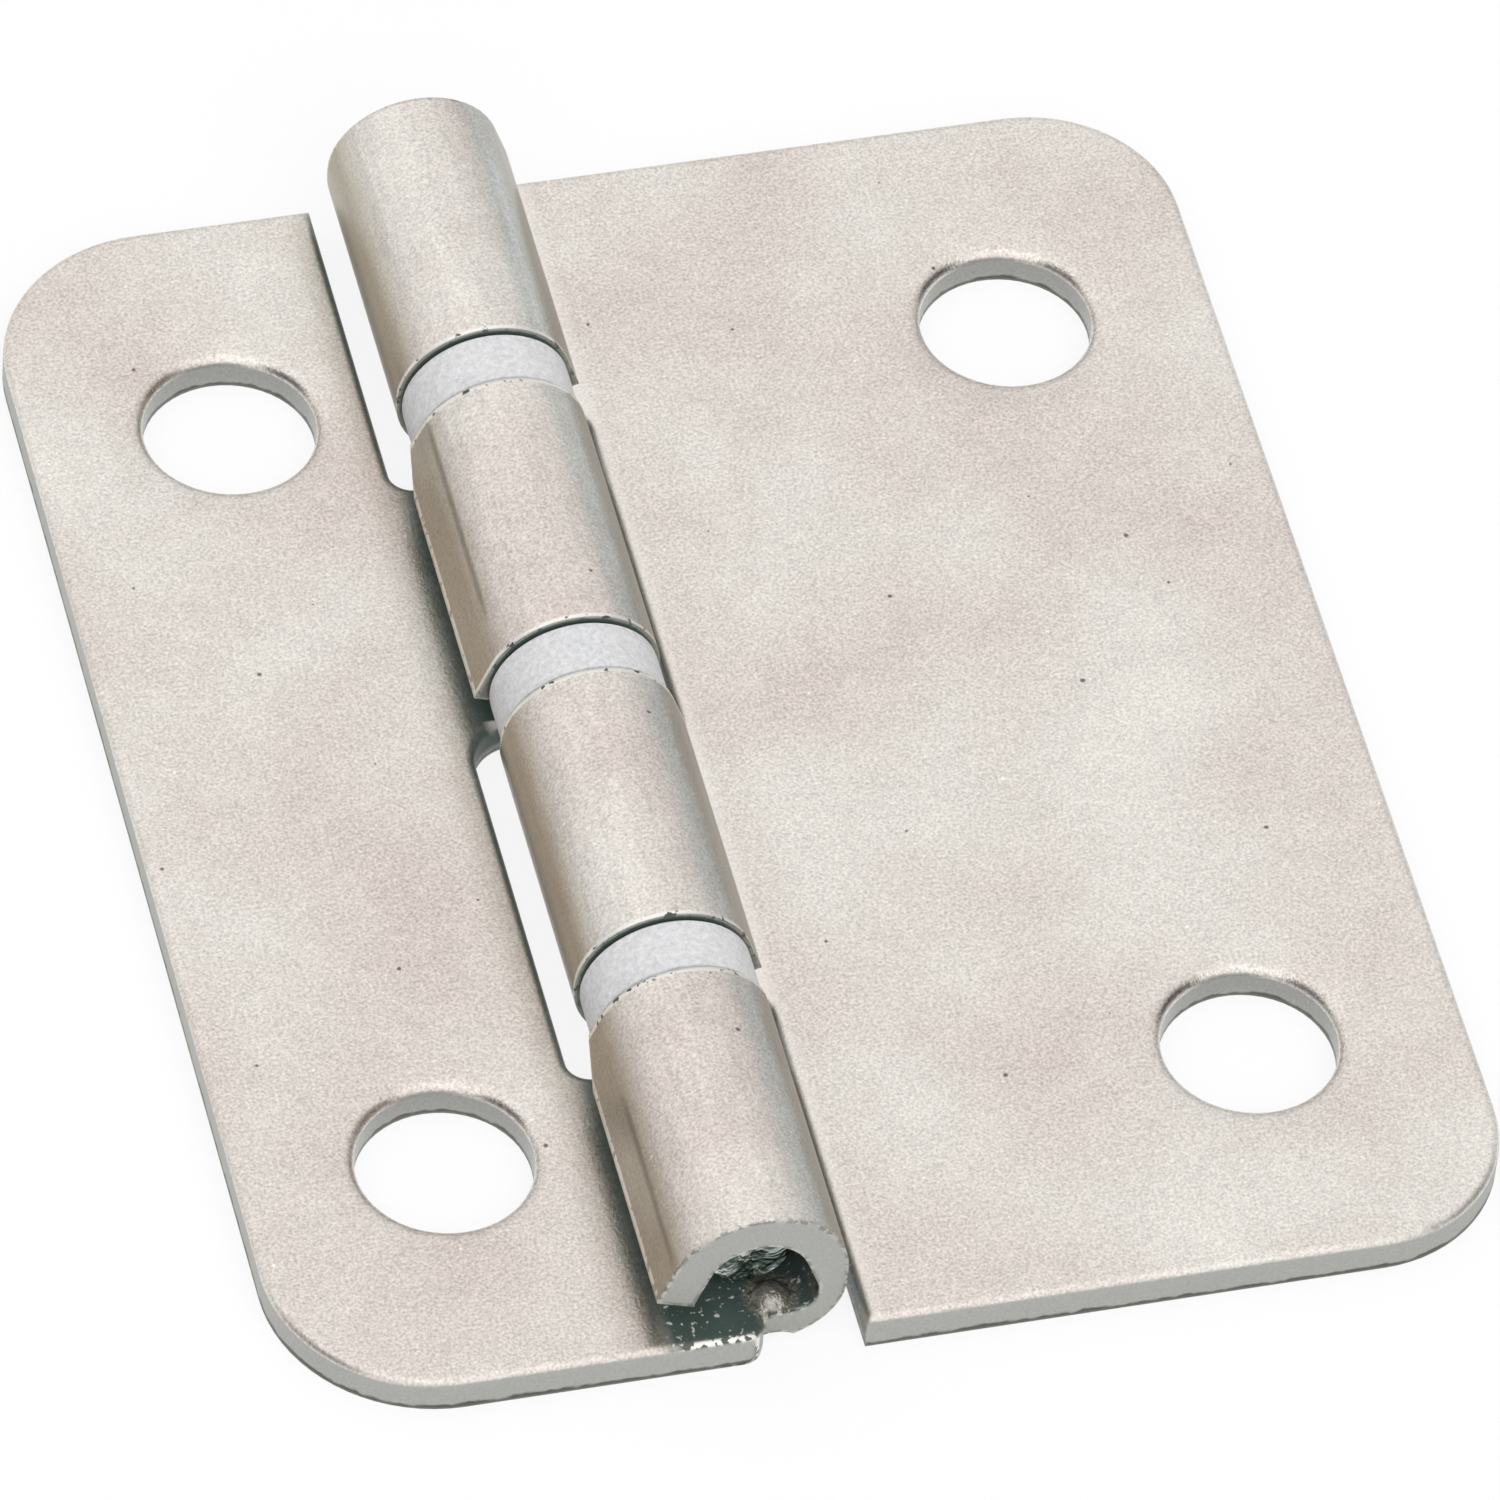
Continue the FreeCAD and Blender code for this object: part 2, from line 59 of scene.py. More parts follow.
# Sockets of a colour Mix node: the share, the colour at 0, the colour at 1, and the result
SHARE, UNDER, OVER, MIXED = 0, 6, 7, 2

# The pin's line, the barrel's radius and the leaves' half length in millimetres, read from the
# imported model
PIN_MM = Vector(frame["joints"][0]["pos_m"]) / MM
BARREL_RADIUS_MM = cad_high.z / MM - PIN_MM.z
HALF_LENGTH_MM = cad_high.y / MM

# The outer corner of a knuckle's tip, away from the pin's line and up from the floor, and the
# middle of the staked lump, both in millimetres
TIP_CORNER_MM = (3.33, 0.0, 2.77)
STAKE_MM = (-4.65, -23.9, 1.4)

# Lengthwise creases in the barrel, painted as dark lines of shade: degrees from straight up, and the run along the
# pin in mm
CREASES = ((-69.0, -24.8, -16.8), (-60.0, 3.0, 12.8))
CREASE_SHADE = 0.55

# Distances in mm between which a crease's painted shade and its two ends fade out
CREASE_FADE_MM = (0.04, 0.2)
CREASE_END_MM = 1.2

# Where one finish or painted shade gives way to another, as distances from the pin's line in mm
BARREL_END_MM = (3.2, 3.5)
CUT_EDGE_START_MM = (3.25, 3.4)
UNDER_ROLL_END_MM = (3.3, 3.8)
SHADE_END_MM = (4.6, 5.4)

# The same to the right of the pin, beside the barrel on the wide leaf, where the painted shade stops and a strip
# painted bright as a highlight ends
UNSHADED_START_MM = (2.9, 3.2)
HIGHLIGHT_STRIP_END_MM = (3.6, 4.2)

# The same as heights above the floor, and as distances in from the hinge's front and back
OFF_FLOOR_MM = (0.1, 0.5)
UNDER_ROLL_TOP_MM = (2.4, 2.0)
SHADE_MARGIN_MM = (1.0, 0.8)
MOUTH_MM = (3.0, 2.5)

# The same as distances from the staked lump, for its thinner painted shade and for its roughness
LUMP_SHADE_MM = (0.7, 1.0)
LUMP_END_MM = (0.9, 1.3)

# How squarely a face looks up, sideways or along the pin, from 0 to 1, where a finish that
# depends on it starts and where it is complete
UPRIGHT_UP = (0.3, 0.12)
LEVEL_UP = (0.5, 0.8)
UNDER_ROLL_UP = (0.3, 0.6)
SHADED_FLANK_SIDEWAYS = (0.38, 0.72)
FLANK_SHADE_SIDEWAYS = (0.7, 0.95)
END_ALONG = (0.8, 0.95)

# How open to the air a place is, where the brown and the green painted shade are whole and where
# they end, and how much the fine unevenness adds to that openness
SHADE_FRINGE_OPENNESS = (0.66, 1.04)
GAP_SHADE_OPENNESS = (0.57, 0.67)
UNEVEN_OPENNESS = 0.16

# How well an edge's rounded normal matches its flat one, where its wear and painted highlight is whole and where
# it ends
EDGE_WEAR_AND_HIGHLIGHT_MATCH = (0.8, 0.99)

# How much of each finish, painted shade and painted highlight shows where it is complete, and how much more an
# edge's wear and painted highlight show on the barrel
SHADED_FLANK_SHARE = 0.85
HIGHLIGHT_STRIP_SHARE = 0.6
FLANK_SHADE_SHARE = 0.72
SHADE_FRINGE_SHARE = 0.55
LUMP_SHADE_SHARE = 0.35
WEAR_AND_HIGHLIGHT_SHARE = 0.4
WEAR_AND_HIGHLIGHT_BARREL_MORE = 0.5

# The dish pressed round a screw hole, from its rolled edge outwards, in mm from its middle
DISH_MM = (2.9, 4.6)
DISH_DEPTH_MM = 0.08

# Relief in mm: a grain's height, a worn edge's radius, and the staked lump's roughness
GRAIN_DEPTH_MM = 0.012
EDGE_RADIUS_MM = 0.24
LUMP_DEPTH_MM = 0.12

# Height in mm where the torn strip of a cut edge fades out, and how far down it wanders
TORN_MM = (0.32, 0.42)
TORN_WANDER_MM = 0.35

# Distances in mm from a knuckle's end between which its bright rim, a painted highlight, fades out
RIM_HIGHLIGHT_MM = (0.16, 0.24)

# Width in mm of one wave of each fine noise, and a rolled line's width as a share of its length
LINE_MM = 1 / 2.2
MOTTLE_MM = 1 / 0.8
UNEVEN_MM = 1 / 3.5
RAGGED_MM = 1 / 1.8
FLECK_MM = 1 / 4.5
CLOUD_MM = 1 / 1.1
LINE_SLIMNESS = 0.12

# Levels of its noise between which each comes out, and how far the ticks' noise drops in the
# mouth, which gives more of them
PATCH_LEVELS = (0.35, 0.65)
FLECK_LEVELS = (0.63, 0.69)
TICK_LEVELS = (0.36, 0.41)
SMEAR_LEVELS = (0.47, 0.58)
MOUTH_TICKS = 0.11

# How much each noise changes the plate's brightness, and that of a cut face
PATCH_WEIGHT = 0.65
MOTTLE_WEIGHT = 0.16
GRAIN_WEIGHT = 1.25
LINE_WEIGHT = 0.35
CUT_GRAIN_WEIGHT = 0.4

# Pits and nicks: shift of the pattern, radius of a dot, both in mm, and its brightness
DOTS = ((0.0, 0.085, 0.25), (3.7, 0.06, 1.5))

# Shares of its radius between which a dot fades out, and the smallest and largest dot's share
DOT_FADE = (0.6, 1.3)
DOT_SIZES = (0.3, 1.2)

# A hole's rolled edge and wall: where they end in the dish's share, and their brightness and
# roughness as shares of the plate's, the brightness darkening the wall as painted shade
WALL_END = 0.06
WALL_SHADE_LEVEL = 0.74
BURNISHED = 0.5

# What a cut face and a cool patch add to the plate's roughness, and how much metal the green
# painted shade hides
CUT_ROUGHNESS = 0.14
PATCH_ROUGHNESS = 0.05
SHADE_COVER = 0.8

# The nylon's speckle: levels of its noise, and the brightness at each
SPECKLE_LEVELS = (0.2, 0.8)
SPECKLE_BRIGHTNESS = (0.74, 1.26)

# Relief in mm of the smears on the pin's end
SMEAR_DEPTH_MM = 0.4


def linear(hex_colour):
    """Turn an sRGB hex colour into the linear RGBA that a shader socket takes."""
    parts = [int(hex_colour[start:start + 2], 16) / 255 for start in (1, 3, 5)]
    bent = [part / 12.92 if part <= 0.04045 else ((part + 0.055) / 1.055) ** 2.4 for part in parts]
    return (*bent, 1.0)


def add(tree, kind, inputs, **settings):
    """Add a node with its settings. An input is a plain value or another node's output."""
    node = tree.nodes.new(kind)
    for name, value in settings.items():
        setattr(node, name, value)
    for name, value in inputs.items():
        if isinstance(value, bpy.types.NodeSocket):
            tree.links.new(value, node.inputs[name])
        else:
            node.inputs[name].default_value = value
    return node


def new_material(name):
    """An empty node material and its tree."""
    material = bpy.data.materials.new(name)
    material.use_nodes = True
    material.node_tree.nodes.clear()
    return material, material.node_tree


def dress(node_name, material):
    """Put a material on a CAD node in place of the one that it came with."""
    piece = frame["nodes"][node_name]
    piece.data.materials.clear()
    piece.data.materials.append(material)


def hole_centres():
    """Middle in mm of every screw hole on its leaf's upper face."""
    centres = []
    for mount in frame["record"]["mounts"]:
        if mount["kind"] != "bolt_pattern":
            continue
        half_pitch = mount["dims"]["spacing_y_mm"] / 2
        for side in (-1, 1):
            centres.append(Vector(mount["pos_m"]) / MM + Vector((0, side * half_pitch, 0)))
    return centres


def knuckle_ends():
    """Where along the pin a knuckle starts or ends."""
    ends = [cad_low.y]
    for ring in ("ring_front", "ring_middle", "ring_back"):
        ends.extend(corner.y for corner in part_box(ring))
    return ends


class PlateFinish(bpy.types.PropertyGroup):
    """Nickel plated sheet of both leaves."""
    warm: bpy.props.FloatVectorProperty(
        name="Warm Nickel", description="Colour of the warmer patches in the plate",
        subtype="COLOR", size=4, min=0, max=1, default=linear("#e5dad3"))
    cool: bpy.props.FloatVectorProperty(
        name="Cool Nickel", description="Colour of the greyer patches in the plate",
        subtype="COLOR", size=4, min=0, max=1, default=linear("#dedad3"))
    # Painted highlight and wear: the bright colour of edges, knuckle rims and a strip beside the barrel
    bright_wear_and_highlight: bpy.props.FloatVectorProperty(
        name="Rubbed Edge", description="Colour of edges that rubbing has brightened",
        subtype="COLOR", size=4, min=0, max=1, default=linear("#fbf8f1"))
    sheared: bpy.props.FloatVectorProperty(
        name="Sheared Edge", description="Colour of the cut edges and knuckle ends",
        subtype="COLOR", size=4, min=0, max=1, default=linear("#b4b5b0"))
    torn: bpy.props.FloatVectorProperty(
        name="Torn Edge", description="Colour of the rough strip low on a cut edge",
        subtype="COLOR", size=4, min=0, max=1, default=linear("#5f6058"))
    # Painted shade: the darker, cooler colour painted on the barrel's right side
    drawn: bpy.props.FloatVectorProperty(
        name="Drawn Side", description="Colour of the barrel's side that rolling dulled",
        subtype="COLOR", size=4, min=0, max=1, default=linear("#b9bdbb"))
    # Painted shade: the brown painted into a gap and on the barrel's flanks
    shade_fringe: bpy.props.FloatVectorProperty(
        name="Fringe", description="Colour of the stain on the way into a gap",
        subtype="COLOR", size=4, min=0, max=1, default=linear("#877b60"))
    # Painted shade: the dark green painted deep in a gap and under a roll
    gap: bpy.props.FloatVectorProperty(
        name="Gap", description="Colour of the stain deep in a gap",
        subtype="COLOR", size=4, min=0, max=1, default=linear("#4f5f59"))
    # How far the painted shade round a gap reaches
    shade_reach: bpy.props.FloatProperty(
        name="Gap Reach", description="How far round a gap the stain spreads",
        subtype="DISTANCE", unit="LENGTH", default=2.5 * MM)
    patch_size: bpy.props.FloatProperty(
        name="Patch Size", description="Width of one patch of warmer or cooler plate",
        subtype="DISTANCE", unit="LENGTH", default=9 * MM)
    grain_size: bpy.props.FloatProperty(
        name="Grain Size", description="Width of one grain of the satin surface",
        subtype="DISTANCE", unit="LENGTH", default=0.11 * MM)
    pit_spacing: bpy.props.FloatProperty(
        name="Pit Spacing", description="Distance between the tiny pits in the plate",
        subtype="DISTANCE", unit="LENGTH", default=7.5 * MM)
    roughness: bpy.props.FloatProperty(
        name="Roughness", description="Roughness of the satin surface",
        subtype="FACTOR", min=0, max=1, default=0.29)


class RingFinish(bpy.types.PropertyGroup):
    """Moulded nylon of the three rings."""
    nylon: bpy.props.FloatVectorProperty(
        name="Nylon", description="Colour of the rings",
        subtype="COLOR", size=4, min=0, max=1, default=linear("#d3d4d7"))
    cloudy: bpy.props.FloatVectorProperty(
        name="Cloudy Nylon", description="Colour of the whiter clouds in the nylon",
        subtype="COLOR", size=4, min=0, max=1, default=linear("#dfdede"))
    speckle_size: bpy.props.FloatProperty(
        name="Speckle Size", description="Width of one fleck of the mottled surface",
        subtype="DISTANCE", unit="LENGTH", default=0.2 * MM)
    roughness: bpy.props.FloatProperty(
        name="Roughness", description="Roughness of the moulded surface",
        subtype="FACTOR", min=0, max=1, default=0.42)


class PinFinish(bpy.types.PropertyGroup):
    """Drawn steel wire of the pin."""
    # Painted highlight: the bright colour of the smears on the pin's end
    steel: bpy.props.FloatVectorProperty(
        name="Steel", description="Colour of the pin",
        subtype="COLOR", size=4, min=0, max=1, default=linear("#c9d0cc"))
    # Painted shade: the dark green-grey of the pin's end
    painted_shade: bpy.props.FloatVectorProperty(
        name="Stained Steel", description="Colour of the dark stain on the pin",
        subtype="COLOR", size=4, min=0, max=1, default=linear("#56665f"))
    smear_size: bpy.props.FloatProperty(
        name="Smear Size", description="Width of one bright smear on the cropped end",
        subtype="DISTANCE", unit="LENGTH", default=1.1 * MM)
    roughness: bpy.props.FloatProperty(
        name="Roughness", description="Roughness of the drawn wire",
        subtype="FACTOR", min=0, max=1, default=0.3)


class StageSetup(bpy.types.PropertyGroup):
    """Floor, light and camera."""
    floor_colour: bpy.props.FloatVectorProperty(
        name="Floor", description="Colour of the floor",
        subtype="COLOR", size=4, min=0, max=1, default=linear("#f6f6f6"))
    key_power: bpy.props.FloatProperty(
        name="Key Power", description="Power of the soft lamp above the camera",
        subtype="POWER", unit="POWER", default=1.6)
    key_size: bpy.props.FloatProperty(
        name="Key Size", description="Width of the soft lamp above the camera",
        subtype="DISTANCE", unit="LENGTH", default=0.6)
    azimuth: bpy.props.FloatProperty(
        name="Azimuth", description="Direction in which the camera looks, from +Y towards +X",
        subtype="ANGLE", unit="ROTATION", default=math.radians(17.74))
    elevation: bpy.props.FloatProperty(
        name="Elevation", description="Height of the camera above the horizon",
        subtype="ANGLE", unit="ROTATION", default=math.radians(48.96))
    roll: bpy.props.FloatProperty(
        name="Roll", description="Turn of the camera about its line of sight",
        subtype="ANGLE", unit="ROTATION", default=math.radians(-5.43))
    distance: bpy.props.FloatProperty(
        name="Distance", description="Distance of the camera from the point that it looks at",
        subtype="DISTANCE", unit="LENGTH", default=514.7 * MM)
    aim: bpy.props.FloatVectorProperty(
        name="Aim", description="Point of the floor that the camera looks at",
        subtype="TRANSLATION", unit="LENGTH", size=3, default=(0.55 * MM, -0.02 * MM, 0))
    lens: bpy.props.FloatProperty(
        name="Lens", description="Focal length on a sensor 36 mm wide, in millimetres",
        subtype="DISTANCE_CAMERA", default=369.9)


def sheet_places(tree, finish):
    """What every layer of the sheet's finish starts from: place, facing, and two fine noises."""
    place = add(tree, "ShaderNodeTexCoord", {})
    millimetres = add(tree, "ShaderNodeVectorMath", {
        0: place.outputs["Object"], "Scale": 1 / MM}, operation="SCALE").outputs[0]
    where = add(tree, "ShaderNodeSeparateXYZ", {0: millimetres})
    facing = add(tree, "ShaderNodeSeparateXYZ", {0: place.outputs["Normal"]})
    across = add(tree, "ShaderNodeCombineXYZ", {
        "X": where.outputs["X"], "Z": where.outputs["Z"]}).outputs[0]
    from_pin = add(tree, "ShaderNodeVectorMath", {
        0: across, 1: (PIN_MM.x, 0.0, PIN_MM.z)}, operation="DISTANCE").outputs["Value"]
    on_barrel = add(tree, "ShaderNodeMapRange", {
        "Value": from_pin, "From Min": BARREL_END_MM[0], "From Max": BARREL_END_MM[1],
        "To Min": 1.0, "To Max": 0.0}).outputs[0]
    endwise = add(tree, "ShaderNodeMath", {
        0: facing.outputs["Y"]}, operation="ABSOLUTE").outputs[0]
    end_share = add(tree, "ShaderNodeMapRange", {
        "Value": endwise, "From Min": END_ALONG[0], "From Max": END_ALONG[1]}).outputs[0]
    # Real satin grain is a few hundredths of a millimetre wide. It is drawn coarser, at the
    # finish's grain size, because it would not show in the render
    grain = add(tree, "ShaderNodeTexNoise", {
        "Vector": millimetres, "Scale": MM / finish.grain_size, "Detail": 2.0,
        "Roughness": 0.7}).outputs["Fac"]
    uneven = add(tree, "ShaderNodeTexNoise", {
        "Vector": millimetres, "Scale": 1 / UNEVEN_MM, "Detail": 2.0}).outputs["Fac"]
    return SimpleNamespace(
        millimetres=millimetres, x=where.outputs["X"], y=where.outputs["Y"],
        z=where.outputs["Z"], facing_x=facing.outputs["X"], facing_z=facing.outputs["Z"],
        across=across, from_pin=from_pin, on_barrel=on_barrel, end_share=end_share,
        grain=grain, uneven=uneven)


def plate_surface(tree, finish, sheet):
    """The sheet's colour with its patches, grain, pits and creases, and where it is cool."""
    patches = add(tree, "ShaderNodeTexNoise", {
        "Vector": sheet.millimetres, "Scale": MM / finish.patch_size, "Detail": 3.0,
        "Roughness": 0.55}).outputs["Fac"]
    patch_share = add(tree, "ShaderNodeMapRange", {
        "Value": patches, "From Min": PATCH_LEVELS[0],
        "From Max": PATCH_LEVELS[1]}).outputs[0]
    plate = add(tree, "ShaderNodeMix", {
        SHARE: patch_share, UNDER: tuple(finish.warm), OVER: tuple(finish.cool)},
        data_type="RGBA").outputs[MIXED]

    # Painted shade: the barrel's right side is painted darker and cooler
    shaded_flank_share = add(tree, "ShaderNodeMapRange", {
        "Value": sheet.facing_x, "From Min": SHADED_FLANK_SIDEWAYS[0], "From Max": SHADED_FLANK_SIDEWAYS[1],
        "To Min": 0.0, "To Max": SHADED_FLANK_SHARE}).outputs[0]
    shaded_flank_share = add(tree, "ShaderNodeMath", {
        0: shaded_flank_share, 1: sheet.on_barrel}, operation="MULTIPLY").outputs[0]
    plate = add(tree, "ShaderNodeMix", {
        SHARE: shaded_flank_share, UNDER: plate, OVER: tuple(finish.drawn)},
        data_type="RGBA").outputs[MIXED]

    # Brightness: clouds, mottle and grain, and the lines that rolling drew along the barrel
    stretched = add(tree, "ShaderNodeVectorMath", {
        0: sheet.millimetres, 1: (1.0, LINE_SLIMNESS, 1.0)}, operation="MULTIPLY").outputs[0]
    lines = add(tree, "ShaderNodeTexNoise", {
        "Vector": stretched, "Scale": 1 / LINE_MM, "Detail": 3.0,
        "Roughness": 0.6}).outputs["Fac"]
    lines = add(tree, "ShaderNodeMath", {0: lines, 1: -0.5}, operation="ADD").outputs[0]
    lines = add(tree, "ShaderNodeMath", {
        0: lines, 1: sheet.on_barrel}, operation="MULTIPLY").outputs[0]
    mottle = add(tree, "ShaderNodeTexNoise", {
        "Vector": sheet.millimetres, "Scale": 1 / MOTTLE_MM, "Detail": 3.0,
        "Roughness": 0.6, "Distortion": 0.4}).outputs["Fac"]
    layers = ((patches, PATCH_WEIGHT), (mottle, MOTTLE_WEIGHT), (sheet.grain, GRAIN_WEIGHT))
    # Each noise averages one half, so this keeps the mean at 1
    start = 1.0 - sum(weight for _, weight in layers) / 2
    brightness = add(tree, "ShaderNodeMath", {
        0: lines, 1: LINE_WEIGHT, 2: start}, operation="MULTIPLY_ADD").outputs[0]
    for noise, weight in layers:
        brightness = add(tree, "ShaderNodeMath", {
            0: noise, 1: weight, 2: brightness}, operation="MULTIPLY_ADD").outputs[0]

    # Pits and nicks: one small dot in each cell of a flat pattern, dark or bright. Real ones
    # are finer still, and are drawn as coarse as they need to show
    for shift, radius, change in DOTS:
        moved = add(tree, "ShaderNodeVectorMath", {
            0: sheet.millimetres, 1: (shift, shift, 0.0)}, operation="ADD").outputs[0]
        cells = add(tree, "ShaderNodeTexVoronoi", {
            "Vector": moved, "Scale": MM / finish.pit_spacing, "Randomness": 1.0},
            voronoi_dimensions="2D")
        width = add(tree, "ShaderNodeMapRange", {
            "Value": cells.outputs["Color"], "To Min": DOT_SIZES[0],
            "To Max": DOT_SIZES[1]}).outputs[0]
        distance = add(tree, "ShaderNodeMath", {
            0: cells.outputs["Distance"], 1: width}, operation="DIVIDE").outputs[0]
        reach = radius * MM / finish.pit_spacing
        dot = add(tree, "ShaderNodeMapRange", {
            "Value": distance, "From Min": reach * DOT_FADE[0],
            "From Max": reach * DOT_FADE[1], "To Min": change, "To Max": 1.0}).outputs[0]
        brightness = add(tree, "ShaderNodeMath", {
            0: brightness, 1: dot}, operation="MULTIPLY").outputs[0]

    # Painted shade: dark lines along the creases where the flare of the front and third knuckles starts
    for turn, low, high in CREASES:
        turned = math.radians(turn)
        crease = (PIN_MM.x + BARREL_RADIUS_MM * math.sin(turned), 0.0,
                  PIN_MM.z + BARREL_RADIUS_MM * math.cos(turned))
        gap = add(tree, "ShaderNodeVectorMath", {
            0: sheet.across, 1: crease}, operation="DISTANCE").outputs["Value"]
        line = add(tree, "ShaderNodeMapRange", {
            "Value": gap, "From Min": CREASE_FADE_MM[0], "From Max": CREASE_FADE_MM[1],
            "To Min": 1.0, "To Max": 0.0}).outputs[0]
        away = add(tree, "ShaderNodeMath", {
            0: sheet.y, 1: (low + high) / 2}, operation="SUBTRACT").outputs[0]
        away = add(tree, "ShaderNodeMath", {0: away}, operation="ABSOLUTE").outputs[0]
        half_run = (high - low) / 2
        run = add(tree, "ShaderNodeMapRange", {
            "Value": away, "From Min": half_run - CREASE_END_MM, "From Max": half_run,
            "To Min": CREASE_SHADE, "To Max": 0.0}).outputs[0]
        line = add(tree, "ShaderNodeMath", {0: line, 1: run}, operation="MULTIPLY").outputs[0]
        line = add(tree, "ShaderNodeMath", {0: 1.0, 1: line}, operation="SUBTRACT").outputs[0]
        brightness = add(tree, "ShaderNodeMath", {
            0: brightness, 1: line}, operation="MULTIPLY").outputs[0]
    surface = add(tree, "ShaderNodeVectorMath", {
        0: plate, "Scale": brightness}, operation="SCALE").outputs[0]
    return surface, patch_share


def hole_dish(tree, sheet):
    """How far the sheet is from a hole: 0 on its rolled edge and wall, 1 outside its dish."""
    dish = None
    for centre in hole_centres():
        gap = add(tree, "ShaderNodeVectorMath", {
            0: sheet.millimetres, 1: tuple(centre)}, operation="DISTANCE").outputs["Value"]
        rise = add(tree, "ShaderNodeMapRange", {
            "Value": gap, "From Min": DISH_MM[0], "From Max": DISH_MM[1], "To Min": 0.0,
            "To Max": 1.0}, interpolation_type="SMOOTHERSTEP").outputs[0]
        dish = rise if dish is None else add(
            tree, "ShaderNodeMath", {0: dish, 1: rise}, operation="MULTIPLY").outputs[0]
    return dish


def cut_faces(tree, finish, sheet, dish, coloured):
    """Dull cut faces with a torn strip: upright ones off the barrel, and the knuckles' ends, with painted shade on
    hole walls.
    """
    upright = add(tree, "ShaderNodeMath", {0: sheet.facing_z}, operation="ABSOLUTE").outputs[0]
    upright = add(tree, "ShaderNodeMapRange", {
        "Value": upright, "From Min": UPRIGHT_UP[1], "From Max": UPRIGHT_UP[0],
        "To Min": 1.0, "To Max": 0.0}).outputs[0]
    off_barrel = add(tree, "ShaderNodeMapRange", {
        "Value": sheet.from_pin, "From Min": CUT_EDGE_START_MM[0],
        "From Max": CUT_EDGE_START_MM[1]}).outputs[0]
    edge_share = add(tree, "ShaderNodeMath", {
        0: upright, 1: off_barrel}, operation="MULTIPLY").outputs[0]
    cut_share = add(tree, "ShaderNodeMath", {
        0: edge_share, 1: sheet.end_share}, operation="MAXIMUM").outputs[0]

    # The torn strip: the lowest part of a cut edge, with an uneven upper border
    ragged = add(tree, "ShaderNodeTexNoise", {
        "Vector": sheet.millimetres, "Scale": 1 / RAGGED_MM, "Detail": 2.0}).outputs["Fac"]
    border = add(tree, "ShaderNodeMath", {
        0: ragged, 1: TORN_WANDER_MM, 2: sheet.z}, operation="MULTIPLY_ADD").outputs[0]
    torn_share = add(tree, "ShaderNodeMapRange", {
        "Value": border, "From Min": TORN_MM[0], "From Max": TORN_MM[1], "To Min": 1.0,
        "To Max": 0.0}).outputs[0]

    # Painted shade: a hole's wall is painted darker than the outer edges; every cut face also gets the grain
    wall_shade_and_grain = add(tree, "ShaderNodeMapRange", {
        "Value": dish, "From Min": 0.0, "From Max": WALL_END, "To Min": WALL_SHADE_LEVEL,
        "To Max": 1.0}).outputs[0]
    wall_shade_and_grain = add(tree, "ShaderNodeMath", {
        0: sheet.grain, 1: CUT_GRAIN_WEIGHT, 2: wall_shade_and_grain},
        operation="MULTIPLY_ADD").outputs[0]
    wall_shade_and_grain = add(tree, "ShaderNodeMath", {
        0: wall_shade_and_grain, 1: -CUT_GRAIN_WEIGHT / 2}, operation="ADD").outputs[0]
    sheared = add(tree, "ShaderNodeVectorMath", {
        0: tuple(finish.sheared)[:3], "Scale": wall_shade_and_grain}, operation="SCALE").outputs[0]
    cut = add(tree, "ShaderNodeMix", {
        SHARE: torn_share, UNDER: sheared, OVER: tuple(finish.torn)},
        data_type="RGBA").outputs[MIXED]
    coloured = add(tree, "ShaderNodeMix", {
        SHARE: cut_share, UNDER: coloured, OVER: cut}, data_type="RGBA").outputs[MIXED]
    return coloured, cut_share


